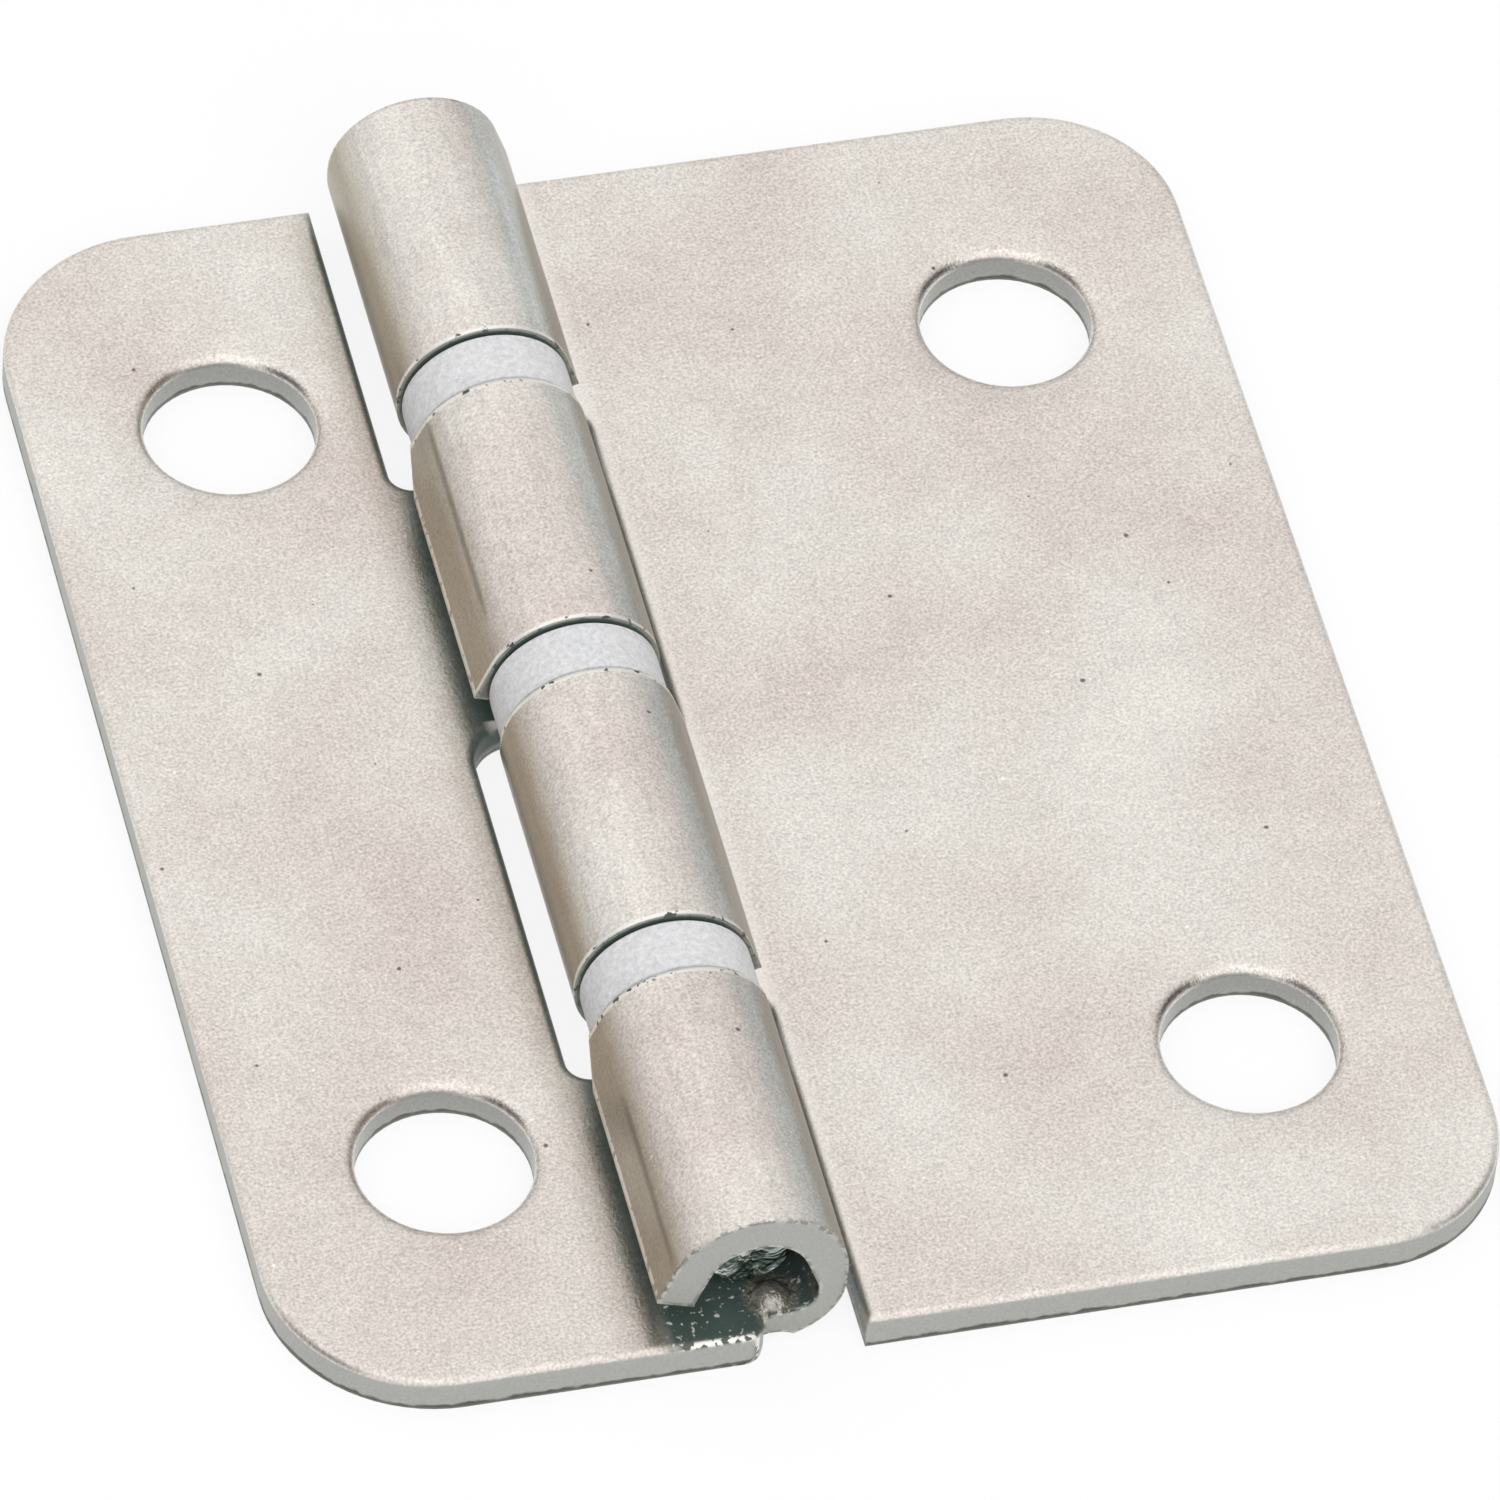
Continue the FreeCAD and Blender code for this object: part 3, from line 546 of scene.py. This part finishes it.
def painted_gap_shade(tree, finish, sheet, coloured):
    """Painted shade round the barrel: brown on its flanks and into a gap, dark green inside it, and a painted
    highlight beside it.
    """
    openness = add(tree, "ShaderNodeAmbientOcclusion", {
        "Distance": finish.shade_reach}, samples=6).outputs["AO"]
    openness = add(tree, "ShaderNodeMath", {
        0: sheet.uneven, 1: UNEVEN_OPENNESS, 2: openness},
        operation="MULTIPLY_ADD").outputs[0]

    # Where shade is painted: near the barrel, off the floor, and not on the outermost end faces
    by_barrel = add(tree, "ShaderNodeMapRange", {
        "Value": sheet.from_pin, "From Min": SHADE_END_MM[0], "From Max": SHADE_END_MM[1],
        "To Min": 1.0, "To Max": 0.0}).outputs[0]
    off_floor = add(tree, "ShaderNodeMapRange", {
        "Value": sheet.z, "From Min": OFF_FLOOR_MM[0],
        "From Max": OFF_FLOOR_MM[1]}).outputs[0]
    lengthwise = add(tree, "ShaderNodeMath", {0: sheet.y}, operation="ABSOLUTE").outputs[0]
    inner = add(tree, "ShaderNodeMapRange", {
        "Value": lengthwise, "From Min": HALF_LENGTH_MM - SHADE_MARGIN_MM[0],
        "From Max": HALF_LENGTH_MM - SHADE_MARGIN_MM[1], "To Min": 1.0,
        "To Max": 0.0}).outputs[0]
    rolled = add(tree, "ShaderNodeMath", {
        0: 1.0, 1: sheet.end_share}, operation="SUBTRACT").outputs[0]
    painted_shade = add(tree, "ShaderNodeMath", {
        0: inner, 1: rolled}, operation="MAXIMUM").outputs[0]

    # Painted shade stays off the wide leaf's upper face beside the barrel, and a strip there is painted bright as
    # a highlight
    right_of_pin = add(tree, "ShaderNodeMath", {
        0: sheet.x, 1: PIN_MM.x}, operation="SUBTRACT").outputs[0]
    beside = add(tree, "ShaderNodeMapRange", {
        "Value": right_of_pin, "From Min": UNSHADED_START_MM[0],
        "From Max": UNSHADED_START_MM[1]}).outputs[0]
    level_face = add(tree, "ShaderNodeMapRange", {
        "Value": sheet.facing_z, "From Min": LEVEL_UP[0], "From Max": LEVEL_UP[1]}).outputs[0]
    beside = add(tree, "ShaderNodeMath", {
        0: beside, 1: level_face}, operation="MULTIPLY").outputs[0]
    away_from_beside = add(tree, "ShaderNodeMath", {0: 1.0, 1: beside}, operation="SUBTRACT").outputs[0]
    for factor in (by_barrel, off_floor, away_from_beside):
        painted_shade = add(tree, "ShaderNodeMath", {
            0: painted_shade, 1: factor}, operation="MULTIPLY").outputs[0]
    highlight_strip_share = add(tree, "ShaderNodeMapRange", {
        "Value": right_of_pin, "From Min": HIGHLIGHT_STRIP_END_MM[0], "From Max": HIGHLIGHT_STRIP_END_MM[1],
        "To Min": HIGHLIGHT_STRIP_SHARE, "To Max": 0.0}).outputs[0]
    highlight_strip_share = add(tree, "ShaderNodeMath", {
        0: highlight_strip_share, 1: beside}, operation="MULTIPLY").outputs[0]

    # Painted shade: the brown fringe into a gap and on the barrel's flanks
    sideways = add(tree, "ShaderNodeMath", {
        0: sheet.facing_x}, operation="ABSOLUTE").outputs[0]
    flank_shade_share = add(tree, "ShaderNodeMapRange", {
        "Value": sideways, "From Min": FLANK_SHADE_SIDEWAYS[0], "From Max": FLANK_SHADE_SIDEWAYS[1],
        "To Min": 0.0, "To Max": FLANK_SHADE_SHARE}).outputs[0]
    shade_fringe_share = add(tree, "ShaderNodeMapRange", {
        "Value": openness, "From Min": SHADE_FRINGE_OPENNESS[0], "From Max": SHADE_FRINGE_OPENNESS[1],
        "To Min": SHADE_FRINGE_SHARE, "To Max": 0.0}).outputs[0]
    shade_fringe_share = add(tree, "ShaderNodeMath", {
        0: shade_fringe_share, 1: flank_shade_share}, operation="MAXIMUM").outputs[0]
    shade_fringe_share = add(tree, "ShaderNodeMath", {
        0: shade_fringe_share, 1: painted_shade}, operation="MULTIPLY").outputs[0]

    # Painted shade: the dark green inside a gap and under a roll, thinner on the staked lump
    gap_shade_share = add(tree, "ShaderNodeMapRange", {
        "Value": openness, "From Min": GAP_SHADE_OPENNESS[0], "From Max": GAP_SHADE_OPENNESS[1],
        "To Min": 1.0, "To Max": 0.0}).outputs[0]
    under_roll = add(tree, "ShaderNodeMapRange", {
        "Value": sheet.from_pin, "From Min": UNDER_ROLL_END_MM[0],
        "From Max": UNDER_ROLL_END_MM[1], "To Min": 1.0, "To Max": 0.0}).outputs[0]
    for socket, band in ((sheet.facing_z, UNDER_ROLL_UP), (sheet.z, UNDER_ROLL_TOP_MM)):
        kept = add(tree, "ShaderNodeMapRange", {
            "Value": socket, "From Min": band[0], "From Max": band[1]}).outputs[0]
        under_roll = add(tree, "ShaderNodeMath", {
            0: under_roll, 1: kept}, operation="MULTIPLY").outputs[0]
    gap_shade_share = add(tree, "ShaderNodeMath", {
        0: gap_shade_share, 1: under_roll}, operation="MAXIMUM").outputs[0]
    to_lump = add(tree, "ShaderNodeVectorMath", {
        0: sheet.millimetres, 1: STAKE_MM}, operation="DISTANCE").outputs["Value"]
    off_lump = add(tree, "ShaderNodeMapRange", {
        "Value": to_lump, "From Min": LUMP_SHADE_MM[0], "From Max": LUMP_SHADE_MM[1],
        "To Min": LUMP_SHADE_SHARE, "To Max": 1.0}).outputs[0]
    for factor in (painted_shade, off_lump):
        gap_shade_share = add(tree, "ShaderNodeMath", {
            0: gap_shade_share, 1: factor}, operation="MULTIPLY").outputs[0]

    # Painted highlight specks in the green shade, only in the barrel's front mouth
    fleck = add(tree, "ShaderNodeTexNoise", {
        "Vector": sheet.millimetres, "Scale": 1 / FLECK_MM, "Detail": 2.0}).outputs["Fac"]
    highlight_fleck = add(tree, "ShaderNodeMapRange", {
        "Value": fleck, "From Min": FLECK_LEVELS[0], "From Max": FLECK_LEVELS[1]}).outputs[0]
    in_mouth = add(tree, "ShaderNodeMapRange", {
        "Value": sheet.y, "From Min": MOUTH_MM[0] - HALF_LENGTH_MM,
        "From Max": MOUTH_MM[1] - HALF_LENGTH_MM}).outputs[0]
    highlight_fleck = add(tree, "ShaderNodeMath", {
        0: highlight_fleck, 1: in_mouth}, operation="MULTIPLY").outputs[0]
    gap_shade_colour = add(tree, "ShaderNodeMix", {
        SHARE: highlight_fleck, UNDER: tuple(finish.gap), OVER: tuple(finish.cool)},
        data_type="RGBA").outputs[MIXED]

    layers = (
        (highlight_strip_share, tuple(finish.bright_wear_and_highlight)),
        (shade_fringe_share, tuple(finish.shade_fringe)),
        (gap_shade_share, gap_shade_colour),
    )
    for share, colour in layers:
        coloured = add(tree, "ShaderNodeMix", {
            SHARE: share, UNDER: coloured, OVER: colour}, data_type="RGBA").outputs[MIXED]
    return SimpleNamespace(
        coloured=coloured, gap_shade_share=gap_shade_share, rolled=rolled, in_mouth=in_mouth,
        fleck=fleck, to_lump=to_lump)


def wear_and_highlight_edges(tree, finish, sheet, gap_shade):
    """Edges painted bright, partly as wear and partly as painted highlight, with dark ticks by the rings, and the
    normal that rounds them.
    """
    rounded = add(tree, "ShaderNodeBevel", {"Radius": EDGE_RADIUS_MM * MM}, samples=3)
    flat = add(tree, "ShaderNodeNewGeometry", {})
    # An edge is where the rounded normal leaves the flat one
    same = add(tree, "ShaderNodeVectorMath", {
        0: rounded.outputs[0], 1: flat.outputs["Normal"]},
        operation="DOT_PRODUCT").outputs["Value"]
    wear_and_highlight = add(tree, "ShaderNodeMapRange", {
        "Value": same, "From Min": EDGE_WEAR_AND_HIGHLIGHT_MATCH[0], "From Max": EDGE_WEAR_AND_HIGHLIGHT_MATCH[1], "To Min": 1.0,
        "To Max": 0.0}).outputs[0]
    wear_and_highlight_depth = add(tree, "ShaderNodeMath", {
        0: sheet.on_barrel, 1: WEAR_AND_HIGHLIGHT_BARREL_MORE, 2: WEAR_AND_HIGHLIGHT_SHARE},
        operation="MULTIPLY_ADD").outputs[0]
    wear_and_highlight = add(tree, "ShaderNodeMath", {
        0: wear_and_highlight, 1: wear_and_highlight_depth}, operation="MULTIPLY").outputs[0]

    # The rim: the strip of a knuckle's outside that is next to its end or to its tip's corner, painted bright as a
    # highlight
    to_rim = add(tree, "ShaderNodeVectorMath", {
        0: sheet.across, 1: (PIN_MM.x, 0.0, 0.0)}, operation="SUBTRACT").outputs[0]
    to_rim = add(tree, "ShaderNodeVectorMath", {0: to_rim}, operation="ABSOLUTE").outputs[0]
    to_rim = add(tree, "ShaderNodeVectorMath", {
        0: to_rim, 1: TIP_CORNER_MM}, operation="DISTANCE").outputs["Value"]
    for end in knuckle_ends():
        to_end = add(tree, "ShaderNodeMath", {
            0: sheet.y, 1: end / MM}, operation="SUBTRACT").outputs[0]
        to_end = add(tree, "ShaderNodeMath", {0: to_end}, operation="ABSOLUTE").outputs[0]
        to_rim = add(tree, "ShaderNodeMath", {
            0: to_rim, 1: to_end}, operation="MINIMUM").outputs[0]
    rim_highlight = add(tree, "ShaderNodeMapRange", {
        "Value": to_rim, "From Min": RIM_HIGHLIGHT_MM[0], "From Max": RIM_HIGHLIGHT_MM[1], "To Min": 1.0,
        "To Max": 0.0}).outputs[0]
    for factor in (sheet.on_barrel, gap_shade.rolled):
        rim_highlight = add(tree, "ShaderNodeMath", {0: rim_highlight, 1: factor}, operation="MULTIPLY").outputs[0]
    wear_and_highlight = add(tree, "ShaderNodeMath", {0: wear_and_highlight, 1: rim_highlight}, operation="MAXIMUM").outputs[0]

    # Dark ticks, more of them on the front rim
    ticked = add(tree, "ShaderNodeMath", {
        0: gap_shade.in_mouth, 1: -MOUTH_TICKS, 2: sheet.uneven},
        operation="MULTIPLY_ADD").outputs[0]
    tick = add(tree, "ShaderNodeMapRange", {
        "Value": ticked, "From Min": TICK_LEVELS[0], "From Max": TICK_LEVELS[1],
        "To Min": 1.0, "To Max": 0.0}).outputs[0]
    tick = add(tree, "ShaderNodeMath", {
        0: tick, 1: sheet.on_barrel}, operation="MULTIPLY").outputs[0]
    wear_and_highlight_colour = add(tree, "ShaderNodeMix", {
        SHARE: tick, UNDER: tuple(finish.bright_wear_and_highlight), OVER: tuple(finish.torn)},
        data_type="RGBA").outputs[MIXED]
    edged = add(tree, "ShaderNodeMix", {
        SHARE: wear_and_highlight, UNDER: gap_shade.coloured, OVER: wear_and_highlight_colour},
        data_type="RGBA").outputs[MIXED]
    return edged, rounded.outputs[0]


def plate_material(finish):
    """Nickel plated steel, blanked from cold rolled sheet, rolled and barrel plated.

    The plate is satin: it mirrors softly, and is cloudy, mottled and finely speckled, with a
    few pits and bright nicks. Rolling drew faint lines along the barrel. Its right side, its
    creases and the holes' walls are painted darker as shade. Cut edges are duller, with a torn
    strip where the sheet broke away. Brown and dark green are painted as shade by the gaps and
    on the barrel's flanks. The edges are painted bright, partly as wear and partly as painted
    highlights, and the knuckles' rims and a strip of the wide leaf beside the barrel are
    painted bright as highlights.
    """
    material, tree = new_material("satin_nickel_plate")
    sheet = sheet_places(tree, finish)
    surface, patch_share = plate_surface(tree, finish, sheet)
    dish = hole_dish(tree, sheet)
    coloured, cut_share = cut_faces(tree, finish, sheet, dish, surface)
    gap_shade = painted_gap_shade(tree, finish, sheet, coloured)
    edged, rounded = wear_and_highlight_edges(tree, finish, sheet, gap_shade)
    # The painted green shade also takes away most of the metal
    metallic = add(tree, "ShaderNodeMath", {
        0: gap_shade.gap_shade_share, 1: -SHADE_COVER, 2: 1.0}, operation="MULTIPLY_ADD").outputs[0]

    # Relief: a shallow dish round each hole, satin grain, and a rough lump where it is staked
    normal = add(tree, "ShaderNodeBump", {
        "Height": dish, "Distance": DISH_DEPTH_MM * MM, "Normal": rounded}).outputs[0]
    normal = add(tree, "ShaderNodeBump", {
        "Height": sheet.grain, "Distance": GRAIN_DEPTH_MM * MM, "Normal": normal}).outputs[0]
    lump_depth = add(tree, "ShaderNodeMapRange", {
        "Value": gap_shade.to_lump, "From Min": LUMP_END_MM[0], "From Max": LUMP_END_MM[1],
        "To Min": LUMP_DEPTH_MM * MM, "To Max": 0.0}).outputs[0]
    normal = add(tree, "ShaderNodeBump", {
        "Height": gap_shade.fleck, "Distance": lump_depth, "Normal": normal}).outputs[0]

    # Rougher on cut faces, burnished on the rolled edges of the holes
    roughness = add(tree, "ShaderNodeMath", {
        0: cut_share, 1: CUT_ROUGHNESS, 2: finish.roughness},
        operation="MULTIPLY_ADD").outputs[0]
    roughness = add(tree, "ShaderNodeMath", {
        0: patch_share, 1: PATCH_ROUGHNESS, 2: roughness},
        operation="MULTIPLY_ADD").outputs[0]
    burnished = add(tree, "ShaderNodeMapRange", {
        "Value": dish, "From Min": 0.0, "From Max": WALL_END, "To Min": BURNISHED,
        "To Max": 1.0}).outputs[0]
    roughness = add(tree, "ShaderNodeMath", {
        0: roughness, 1: burnished}, operation="MULTIPLY").outputs[0]
    shader = add(tree, "ShaderNodeBsdfPrincipled", {
        "Base Color": edged, "Metallic": metallic, "Roughness": roughness, "Normal": normal})
    add(tree, "ShaderNodeOutputMaterial", {"Surface": shader.outputs[0]})
    return material


def ring_material(finish):
    """Nylon, injection moulded in natural white.

    It is semi-matt and mottled, and lets a little light in. Its speckle is drawn coarser than
    the mould's real texture, so that it shows.
    """
    material, tree = new_material("moulded_nylon")
    place = add(tree, "ShaderNodeTexCoord", {})
    millimetres = add(tree, "ShaderNodeVectorMath", {
        0: place.outputs["Object"], "Scale": 1 / MM}, operation="SCALE").outputs[0]
    cloud = add(tree, "ShaderNodeTexNoise", {
        "Vector": millimetres, "Scale": 1 / CLOUD_MM, "Detail": 3.0}).outputs["Fac"]
    colour = add(tree, "ShaderNodeMix", {
        SHARE: cloud, UNDER: tuple(finish.nylon), OVER: tuple(finish.cloudy)},
        data_type="RGBA").outputs[MIXED]
    speckle = add(tree, "ShaderNodeTexNoise", {
        "Vector": millimetres, "Scale": MM / finish.speckle_size, "Detail": 3.0,
        "Roughness": 0.7}).outputs["Fac"]
    brightness = add(tree, "ShaderNodeMapRange", {
        "Value": speckle, "From Min": SPECKLE_LEVELS[0], "From Max": SPECKLE_LEVELS[1],
        "To Min": SPECKLE_BRIGHTNESS[0], "To Max": SPECKLE_BRIGHTNESS[1]},
        clamp=False).outputs[0]
    mottled = add(tree, "ShaderNodeVectorMath", {
        0: colour, "Scale": brightness}, operation="SCALE").outputs[0]
    relief = add(tree, "ShaderNodeBump", {
        "Height": speckle, "Distance": GRAIN_DEPTH_MM * MM}).outputs[0]
    shader = add(tree, "ShaderNodeBsdfPrincipled", {
        "Base Color": mottled, "Roughness": finish.roughness, "IOR": 1.53, "Normal": relief,
        "Subsurface Weight": 0.25, "Subsurface Radius": (0.4, 0.45, 0.5),
        "Subsurface Scale": 1.0 * MM})
    add(tree, "ShaderNodeOutputMaterial", {"Surface": shader.outputs[0]})
    return material


def pin_material(finish):
    """Steel wire, drawn and cropped, with no plating: its end is painted dark green-grey as shade, with bright
    smears painted as highlights.
    """
    material, tree = new_material("drawn_steel_wire")
    place = add(tree, "ShaderNodeTexCoord", {})
    millimetres = add(tree, "ShaderNodeVectorMath", {
        0: place.outputs["Object"], "Scale": 1 / MM}, operation="SCALE").outputs[0]
    smear = add(tree, "ShaderNodeTexNoise", {
        "Vector": millimetres, "Scale": MM / finish.smear_size, "Detail": 3.0,
        "Roughness": 0.6, "Distortion": 0.8}).outputs["Fac"]
    smear_highlight_share = add(tree, "ShaderNodeMapRange", {
        "Value": smear, "From Min": SMEAR_LEVELS[0], "From Max": SMEAR_LEVELS[1]}).outputs[0]
    colour = add(tree, "ShaderNodeMix", {
        SHARE: smear_highlight_share, UNDER: tuple(finish.painted_shade), OVER: tuple(finish.steel)},
        data_type="RGBA").outputs[MIXED]
    relief = add(tree, "ShaderNodeBump", {
        "Height": smear, "Distance": SMEAR_DEPTH_MM * MM}).outputs[0]
    shader = add(tree, "ShaderNodeBsdfPrincipled", {
        "Base Color": colour, "Metallic": 1.0, "Roughness": finish.roughness,
        "Normal": relief})
    add(tree, "ShaderNodeOutputMaterial", {"Surface": shader.outputs[0]})
    return material


class HINGE_OT_leaves(bpy.types.Operator):
    """Finish both leaves in satin nickel plate"""
    bl_idname = "hinge.leaves"
    bl_label = "Leaves"

    def execute(self, context):
        material = plate_material(context.scene.hinge_plate)
        for name in ("narrow_leaf", "wide_leaf"):
            dress(name, material)
        return {"FINISHED"}


class HINGE_OT_rings(bpy.types.Operator):
    """Finish the three rings in moulded nylon"""
    bl_idname = "hinge.rings"
    bl_label = "Rings"

    def execute(self, context):
        material = ring_material(context.scene.hinge_ring)
        for name in ("ring_front", "ring_middle", "ring_back"):
            dress(name, material)
        return {"FINISHED"}


class HINGE_OT_pin(bpy.types.Operator):
    """Finish the pin in drawn steel"""
    bl_idname = "hinge.pin"
    bl_label = "Pin"

    def execute(self, context):
        dress("pin", pin_material(context.scene.hinge_pin))
        return {"FINISHED"}


# The floor's half width in metres, its drop below the hinge in mm, and how clear it is
FLOOR_REACH = 4.0
FLOOR_DROP_MM = 0.02
FLOOR_CLEARNESS = 0.86


def make_floor(colour):
    """A wide pale floor, which stays white to the eye and keeps a soft shadow.

    It is mostly clear to the eye and to mirrored light, so a leaf that folds down past it and
    the hinge's underside still show.
    """
    mesh = bpy.data.meshes.new("floor")
    corners = [(x * FLOOR_REACH, y * FLOOR_REACH, -FLOOR_DROP_MM * MM) for x, y in (
        (-1, -1), (1, -1), (1, 1), (-1, 1))]
    mesh.from_pydata(corners, [], [(0, 1, 2, 3)])
    floor = bpy.data.objects.new("floor", mesh)
    bpy.context.scene.collection.objects.link(floor)

    material, tree = new_material("white_paper")
    paper = add(tree, "ShaderNodeBsdfDiffuse", {"Color": tuple(colour), "Roughness": 0.5})
    clear = add(tree, "ShaderNodeBsdfTransparent", {"Color": (1, 1, 1, 1)})
    ray = add(tree, "ShaderNodeLightPath", {}).outputs
    seen = ray["Is Camera Ray"]
    for kind in ("Is Glossy Ray", "Is Transmission Ray"):
        seen = add(tree, "ShaderNodeMath", {
            0: seen, 1: ray[kind]}, operation="MAXIMUM").outputs[0]
    share = add(tree, "ShaderNodeMath", {
        0: seen, 1: FLOOR_CLEARNESS}, operation="MULTIPLY").outputs[0]
    both = add(tree, "ShaderNodeMixShader", {
        0: share, 1: paper.outputs[0], 2: clear.outputs[0]})
    add(tree, "ShaderNodeOutputMaterial", {"Surface": both.outputs[0]})
    mesh.materials.append(material)


def make_lamp(name, power, size, place):
    """A soft square lamp that points at the hinge."""
    light = bpy.data.lights.new(name, "AREA")
    light.shape = "SQUARE"
    light.size = size
    light.energy = power
    lamp = bpy.data.objects.new(name, light)
    lamp.location = place
    # Satin metal that mirrored the lamp would clip to white, so it doesn't
    lamp.visible_glossy = False
    lamp.rotation_euler = (-Vector(place)).to_track_quat("-Z", "Y").to_euler()
    bpy.context.scene.collection.objects.link(lamp)


# The tent's light: the height where it starts to rise from its level at the horizon, how much
# it gains, and the bend and reach of that gain, which make it 1 where the flat leaves mirror it
HORIZON_HEIGHT = 0.05
HORIZON_LEVEL = 0.62
RISE = 0.38
RISE_BEND = 0.6
RISE_REACH = 1.357

# Its bright front and its open sides: middle, cosines between which each comes in, and factor
FRONT_MIDDLE = (0.0, -0.77, 0.64)
FRONT_EDGE = (0.6, 0.88)
FRONT_FACTOR = 1.25
SIDE_MIDDLE = (0.93, -0.2, 0.3)
SIDE_EDGE = (0.84, 0.92)
SIDE_FACTOR = 0.08

# How much brighter the left is than the middle, and the height below which it is plain white
LEFT_GAIN = 0.1
WHITE_HEIGHT = -0.02


def make_world():
    """A pale tent: plain above, dimmer at the horizon, bright in front and open at the sides.

    Its level is about 1 where the flat leaves mirror it to the camera, so they show their own
    colour.
    """
    world = bpy.data.worlds.new("tent")
    bpy.context.scene.world = world
    world.use_nodes = True
    tree = world.node_tree
    tree.nodes.clear()
    direction = add(tree, "ShaderNodeTexCoord", {}).outputs["Generated"]
    parts = add(tree, "ShaderNodeSeparateXYZ", {0: direction}).outputs
    height = add(tree, "ShaderNodeMapRange", {
        "Value": parts["Z"], "From Min": HORIZON_HEIGHT, "From Max": 1.0, "To Min": 0.0,
        "To Max": RISE_REACH}).outputs[0]
    height = add(tree, "ShaderNodeMath", {
        0: height, 1: RISE_BEND}, operation="POWER").outputs[0]
    level = add(tree, "ShaderNodeMath", {
        0: height, 1: RISE, 2: HORIZON_LEVEL}, operation="MULTIPLY_ADD").outputs[0]

    # Factors on that level: brighter in front, a little brighter on the left than on the
    # right, and dark where the tent is open on either side
    towards_front = add(tree, "ShaderNodeVectorMath", {
        0: direction, 1: FRONT_MIDDLE}, operation="DOT_PRODUCT").outputs["Value"]
    front = add(tree, "ShaderNodeMapRange", {
        "Value": towards_front, "From Min": FRONT_EDGE[0], "From Max": FRONT_EDGE[1],
        "To Min": 1.0, "To Max": FRONT_FACTOR}, interpolation_type="SMOOTHSTEP").outputs[0]
    leftness = add(tree, "ShaderNodeMath", {
        0: parts["X"], 1: -LEFT_GAIN, 2: 1.0}, operation="MULTIPLY_ADD").outputs[0]
    either_side = add(tree, "ShaderNodeMath", {0: parts["X"]}, operation="ABSOLUTE").outputs[0]
    either_side = add(tree, "ShaderNodeCombineXYZ", {
        "X": either_side, "Y": parts["Y"], "Z": parts["Z"]}).outputs[0]
    sideways = add(tree, "ShaderNodeVectorMath", {
        0: either_side, 1: SIDE_MIDDLE}, operation="DOT_PRODUCT").outputs["Value"]
    open_side = add(tree, "ShaderNodeMapRange", {
        "Value": sideways, "From Min": SIDE_EDGE[0], "From Max": SIDE_EDGE[1],
        "To Min": 1.0, "To Max": SIDE_FACTOR}, interpolation_type="SMOOTHSTEP").outputs[0]
    for factor in (front, leftness, open_side):
        level = add(tree, "ShaderNodeMath", {
            0: level, 1: factor}, operation="MULTIPLY").outputs[0]

    # White below the horizon, which shows through the floor, to the eye and in the metal
    below = add(tree, "ShaderNodeMapRange", {
        "Value": parts["Z"], "From Min": WHITE_HEIGHT, "From Max": 0.0, "To Min": 1.0,
        "To Max": 0.0}).outputs[0]
    level = add(tree, "ShaderNodeMix", {0: below, 2: level, 3: 1.0}).outputs[0]
    light = add(tree, "ShaderNodeBackground", {"Color": (1, 1, 1, 1), "Strength": level})
    add(tree, "ShaderNodeOutputWorld", {"Surface": light.outputs[0]})


def make_camera(setup):
    """A long lens at the photograph's angle."""
    azimuth, elevation, roll = setup.azimuth, setup.elevation, setup.roll
    level = math.cos(elevation)
    forward = Vector((
        math.sin(azimuth) * level, math.cos(azimuth) * level, -math.sin(elevation)))
    right = Vector((math.cos(azimuth), -math.sin(azimuth), 0))
    down = forward.cross(right)
    tilted_right = math.cos(roll) * right + math.sin(roll) * down
    tilted_down = -math.sin(roll) * right + math.cos(roll) * down
    place = Vector(setup.aim) - setup.distance * forward

    data = bpy.data.cameras.new("camera")
    data.lens = setup.lens
    data.sensor_width = 36
    data.clip_start = 0.01
    data.clip_end = 20
    camera = bpy.data.objects.new("camera", data)
    axes = Matrix((tilted_right, -tilted_down, -forward)).transposed()
    camera.matrix_world = Matrix.Translation(place) @ axes.to_4x4()
    bpy.context.scene.collection.objects.link(camera)
    bpy.context.scene.camera = camera


# The soft lamp's place in metres: in front, above, and a little to the right
KEY_PLACE = (0.05, -0.55, 0.62)


class HINGE_OT_stage(bpy.types.Operator):
    """Set up the floor, the light and the camera"""
    bl_idname = "hinge.stage"
    bl_label = "Stage"

    def execute(self, context):
        setup = context.scene.hinge_stage
        make_floor(setup.floor_colour)
        make_world()
        make_lamp("key", setup.key_power, setup.key_size, KEY_PLACE)
        make_camera(setup)
        context.scene.view_settings.view_transform = "Standard"
        return {"FINISHED"}


class HINGE_PT_panel(bpy.types.Panel):
    """Lists the hinge's steps"""
    bl_idname = "HINGE_PT_panel"
    bl_label = "Folding Door Hinge"
    bl_space_type = "VIEW_3D"
    bl_region_type = "UI"
    bl_category = "Hinge"

    def draw(self, context):
        for operator in OPERATORS:
            self.layout.operator(operator.bl_idname)


OPERATORS = (HINGE_OT_leaves, HINGE_OT_rings, HINGE_OT_pin, HINGE_OT_stage)
GROUPS = {
    "hinge_plate": PlateFinish,
    "hinge_ring": RingFinish,
    "hinge_pin": PinFinish,
    "hinge_stage": StageSetup,
}


def register():
    for item in (*GROUPS.values(), *OPERATORS, HINGE_PT_panel):
        bpy.utils.register_class(item)
    for name, group in GROUPS.items():
        setattr(bpy.types.Scene, name, bpy.props.PointerProperty(type=group))


def unregister():
    for name in GROUPS:
        delattr(bpy.types.Scene, name)
    for item in reversed((*GROUPS.values(), *OPERATORS, HINGE_PT_panel)):
        bpy.utils.unregister_class(item)


def main():
    register()
    bpy.ops.hinge.leaves()
    bpy.ops.hinge.rings()
    bpy.ops.hinge.pin()
    bpy.ops.hinge.stage()


if __name__ == "__main__":
    main()
